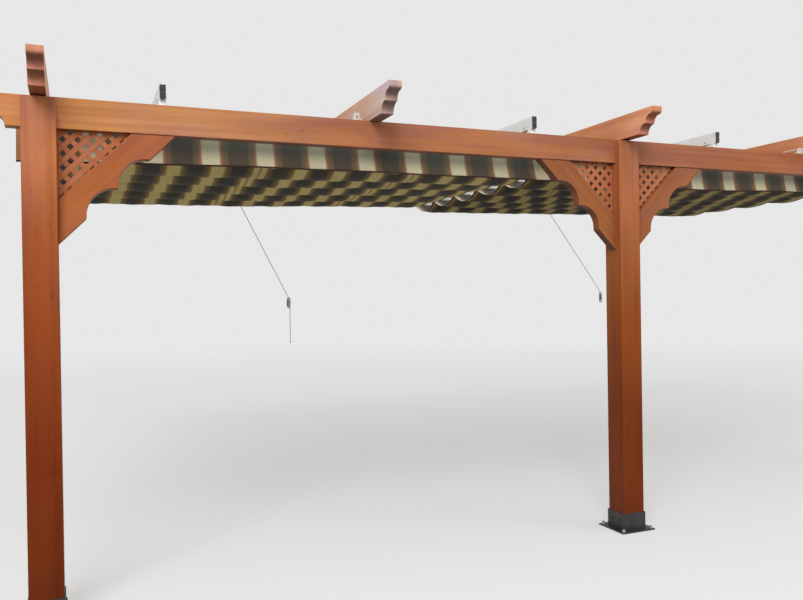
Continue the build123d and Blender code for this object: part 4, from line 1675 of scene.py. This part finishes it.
AWNINGS = {
    "left": AwningSide(
        side=-1, stripe_start=-2.009, flap_start=-1.904, glow=0.20, lean=0.045,
        front_sag=(0.090, 0.093, 0.097, 0.103), back_sag=(0.043, 0.064, 0.092, 0.106),
        dips=((3.6, 1.0, 0.032),),
    ),
    "right": AwningSide(
        side=1, stripe_start=1.674, flap_start=1.396, glow=0.08, lean=0.028,
        front_sag=(0.090, 0.084, 0.074, 0.055), back_sag=(0.088, 0.080, 0.068, 0.045),
        dips=((0.8, 0.4, 0.012), (1.65, 0.4, -0.007)),
    ),
}


def inner_to_outer(across: np.ndarray) -> np.ndarray:
    """Distance from the pergola's middle for a share of an awning's width from its inner edge."""
    return across * (CLOTH_OUTER_X - CLOTH_INNER_X) + CLOTH_INNER_X


@dataclass
class AwningCloth:
    """Striped cloth that hangs in waves from the bars, with bound side edges."""

    name: str
    shape: AwningSide
    sag_places: tuple[float, ...] = (0.0, 0.28, 0.5, 1.0)
    back_from: float = 4.0
    bar_half: float = 0.0025
    thick: float = 0.0012
    per_wave: int = 22
    columns: int = 160
    inner_edge: float = 0.04
    outer_edge: float = 0.045
    scallop: float = 0.008
    edge_lift: float = 0.006
    hem: float = 0.022
    tape_thick: float = 0.0007
    tape_gap: float = 0.0004

    def sag(self, across: np.ndarray, number: np.ndarray) -> np.ndarray:
        """Depth of a wave below the bars.

        Args:
            across: share of the width from the inner edge.
            number: the wave's number from the front, 0 for the first.
        Returns:
            The depth in metres, which changes smoothly from that of the front waves to the back ones'.
        """
        back = np.clip(number / self.back_from, 0, 1)
        back = back * back * (3 - 2 * back)
        front_depth = np.interp(across, self.sag_places, self.shape.front_sag)
        back_depth = np.interp(across, self.sag_places, self.shape.back_sag)
        return front_depth * (1 - back) + back_depth * back

    @staticmethod
    def creases(x_in: np.ndarray, number: np.ndarray, t: np.ndarray) -> np.ndarray:
        """Soft creases from bar to bar.

        Args:
            x_in: distance from the pergola's middle.
            number: the wave's number.
            t: share of the way from its front bar to its back one.
        Returns:
            The height of the creases in metres.
        """
        fine = np.sin(x_in * 37 + 3 * np.sin(x_in * 2.3 + number) + number * 2.1) * 0.0016
        return fine + np.sin(x_in * 15 - t * 3.0 + number * 1.7) * 0.0022

    def point(self, across: np.ndarray, wave: np.ndarray) -> np.ndarray:
        """Place of the cloth.

        Args:
            across: share of the width from the inner edge.
            wave: number of waves from the front bar.
        Returns:
            Places in metres.
        """
        number = np.minimum(np.floor(wave), WAVES - 1)
        t = wave - number
        arch = 4 * t * (1 - t)
        x_in = inner_to_outer(across)
        uneven = np.sin(number * 2.7 + 3 + self.shape.side) * 0.05 + np.sin(x_in * 1.9 + number * 1.3) * 0.035
        drop = self.sag(across, number) * (0.95 + uneven * 0.6) * arch**0.93
        edge = np.clip((across - 1 + self.outer_edge) / self.outer_edge, 0, 1) ** 2
        edge = edge + np.clip((self.inner_edge - across) / self.inner_edge, 0, 1) ** 2
        z = CLOTH_TOP - drop + self.creases(x_in, number, t) * arch + edge * arch * self.edge_lift
        x = x_in - np.where(across > 0.5, 1, -1) * edge * arch * self.scallop
        y = FIRST_BAR_Y + wave * BAR_PITCH + np.where(wave == 0, self.bar_half, 0.0)
        return np.stack([x * self.shape.side, y, z], -1)

    def build(
        self, above: bpy.types.Material, under: bpy.types.Material, tape: bpy.types.Material
    ) -> list[bpy.types.Object]:
        """Args:
            above: finish of the upper side.
            under: finish of the underside.
            tape: finish of the edge tapes.
        Returns:
            The cloth and the tapes.
        """
        shares, waves = np.linspace(0, 1, self.columns + 1), np.linspace(0, WAVES, WAVES * self.per_wave + 1)
        across, wave = np.meshgrid(shares, waves)
        points = self.point(across, wave)
        flat = np.stack([points[..., 0], wave * BAR_PITCH], -1)
        piece = grid_piece(f"cloth_{self.name}", points, flat, turned=self.shape.side < 0)
        piece.data.materials.append(above)
        piece.data.materials.append(under)
        thicken(piece, self.thick, offset=-1.0, material_offset=1, material_offset_rim=0)
        hand_over(piece, None, [f"awning_cloth_{self.name}"])
        tapes = [self.edge_tape("inner", tape), self.edge_tape("outer", tape)]
        return [piece, *tapes]

    def edge_tape(self, end: str, material: bpy.types.Material) -> bpy.types.Object:
        """Tape sewn under one side edge of the cloth.

        Args:
            end: "inner" or "outer".
            material: its finish.
        Returns:
            The tape.
        """
        edge, inwards = (0.0, 1) if end == "inner" else (1.0, -1)
        reach = self.hem / (CLOTH_OUTER_X - CLOTH_INNER_X) * inwards
        waves = np.linspace(0, WAVES, WAVES * self.per_wave + 1)
        across, wave = np.meshgrid(edge + reach * np.array([0.0, 0.5, 1.0]), waves)
        points = self.point(across, wave)
        points[..., 2] -= self.thick + self.tape_gap
        flat = np.stack([points[..., 0], wave * BAR_PITCH], -1)
        piece = grid_piece(f"cloth_tape_{self.name}_{end}", points, flat)
        thicken(piece, self.tape_thick)
        return hand_over(piece, material)


@dataclass
class Valance:
    """Flap in front of the first bar: plumb at the top, blown forward to a bound hem.

    The tape's section has the offsets in Y and the shares of the drop of its fold round the hem.
    """

    name: str
    shape: AwningSide
    front_y: float = 0.2385
    thick: float = 0.0011
    rows: int = 16
    columns: int = 220
    tape_wide: float = 0.024
    tape_thick: float = 0.0006
    tape_section: tuple[tuple[float, float], ...] = (
        (-0.0016, 0.962), (-0.0019, 0.982), (-0.0017, 0.999), (0.0, 1.006), (0.0017, 0.999),
        (0.0019, 0.982), (0.0016, 0.962),
    )

    def point(self, across: np.ndarray, down: np.ndarray) -> np.ndarray:
        """Place of the flap.

        Args:
            across: share of the width from the inner edge.
            down: share of the height from the top.
        Returns:
            Places in metres.
        """
        lean = self.shape.lean
        radius = (FLAP_DROP**2 + lean**2) / (2 * lean)
        angle = math.asin(FLAP_DROP / radius) * down
        x_in = inner_to_outer(across)
        ripple = np.sin(x_in * 6.1 + 0.8) * 0.0030 + np.sin(x_in * 17.0 + 2 * np.sin(x_in * 2.0)) * 0.0016
        y = self.front_y - radius * (1 - np.cos(angle)) + ripple * down**1.5 + 0.001 * down
        droop = sum(
            depth * np.exp(-(((x_in - place) / width) ** 2)) for place, width, depth in self.shape.dips
        )
        z = CLOTH_TOP - radius * np.sin(angle) - droop * down + np.sin(x_in * 9.0) * 0.0012 * down
        return np.stack([x_in * self.shape.side, y, z], -1)

    def build(self, finish: bpy.types.Material, tape: bpy.types.Material) -> list[bpy.types.Object]:
        """Args:
            finish: the flap's finish.
            tape: the binding's.
        Returns:
            The flap and the binding.
        """
        across, down = np.meshgrid(np.linspace(0, 1, self.columns + 1), np.linspace(0, 1, self.rows + 1))
        points = self.point(across, down)
        flat = np.stack([points[..., 0], down * FLAP_DROP], -1)
        piece = grid_piece(f"valance_{self.name}", points, flat, turned=self.shape.side > 0)
        thicken(piece, self.thick)
        hand_over(piece, finish, [f"awning_valance_{self.name}"])
        hem = self.binding(tape)
        return [piece, hem]

    def binding(self, material: bpy.types.Material) -> bpy.types.Object:
        """Narrow dark tape folded round the lower edge.

        Args:
            material: its finish.
        Returns:
            The tape.
        """
        across = np.linspace(0, 1, self.columns + 1)
        offsets, shares = np.transpose(self.tape_section)
        points = np.stack([self.point(across, np.full_like(across, share)) for share in shares])
        points[..., 1] += offsets[:, None]
        down = np.broadcast_to(np.linspace(0, self.tape_wide, len(shares))[:, None], points.shape[:2])
        piece = grid_piece(f"valance_tape_{self.name}", points, np.stack([points[..., 0], down], -1))
        thicken(piece, self.tape_thick)
        return hand_over(piece, material)


@dataclass
class Awnings:
    """Both awnings' cloths and flaps, cut from the same striped canvas."""

    pitch: float = 0.277
    flap_pitch: float = 0.2912
    flap_beige_half: float = 0.166
    # painted glow of the flap, standing for light through the cloth
    flap_painted_glow: float = 0.30
    # Lit and shaded copies of one canvas: the underside's darker, yellower colours are painted shade and
    # light through the cloth
    above: CanvasColours = CanvasColours(
        linear(236, 232, 212), linear(178, 130, 106), linear(138, 132, 102), linear(100, 100, 96)
    )
    below: CanvasColours = CanvasColours(
        linear(206, 188, 126), linear(146, 114, 76), linear(104, 94, 66), linear(73, 70, 63)
    )
    front: CanvasColours = CanvasColours(
        linear(213, 207, 174), linear(158, 108, 78), linear(118, 102, 78), linear(90, 82, 70)
    )

    def build(self) -> list[bpy.types.Object]:
        """Makes them all.

        Returns:
            Cloths, flaps and their tapes.
        """
        tape = MouldedFinish("dark_tape", linear(78, 54, 44), linear(52, 40, 36), 0.85).build()
        made = []
        for name, shape in AWNINGS.items():
            start = shape.stripe_start
            above = WaveFinish(f"canvas_{name}_top", self.above, start, self.pitch).build()
            under = WaveFinish(f"canvas_{name}_under", self.below, start, self.pitch, shape.glow).build()
            front = FlapFinish(
                f"canvas_{name}_flap", self.front, shape.flap_start, self.flap_pitch, self.flap_painted_glow,
                self.flap_beige_half,
            ).build()
            made += AwningCloth(name, shape).build(above, under, tape)
            made += Valance(name, shape).build(front, tape)
        return made


def main() -> None:
    """Builds the studio and every piece, and logs each piece's name."""
    logging.basicConfig(level=logging.INFO, format="%(message)s")
    Studio().build()
    for group in (Ropes(), TimberFrame(), Fittings(), Awnings()):
        for piece in group.build():
            LOG.info("%s: %s", type(group).__name__, piece.name)


if __name__ == "__main__":
    main()
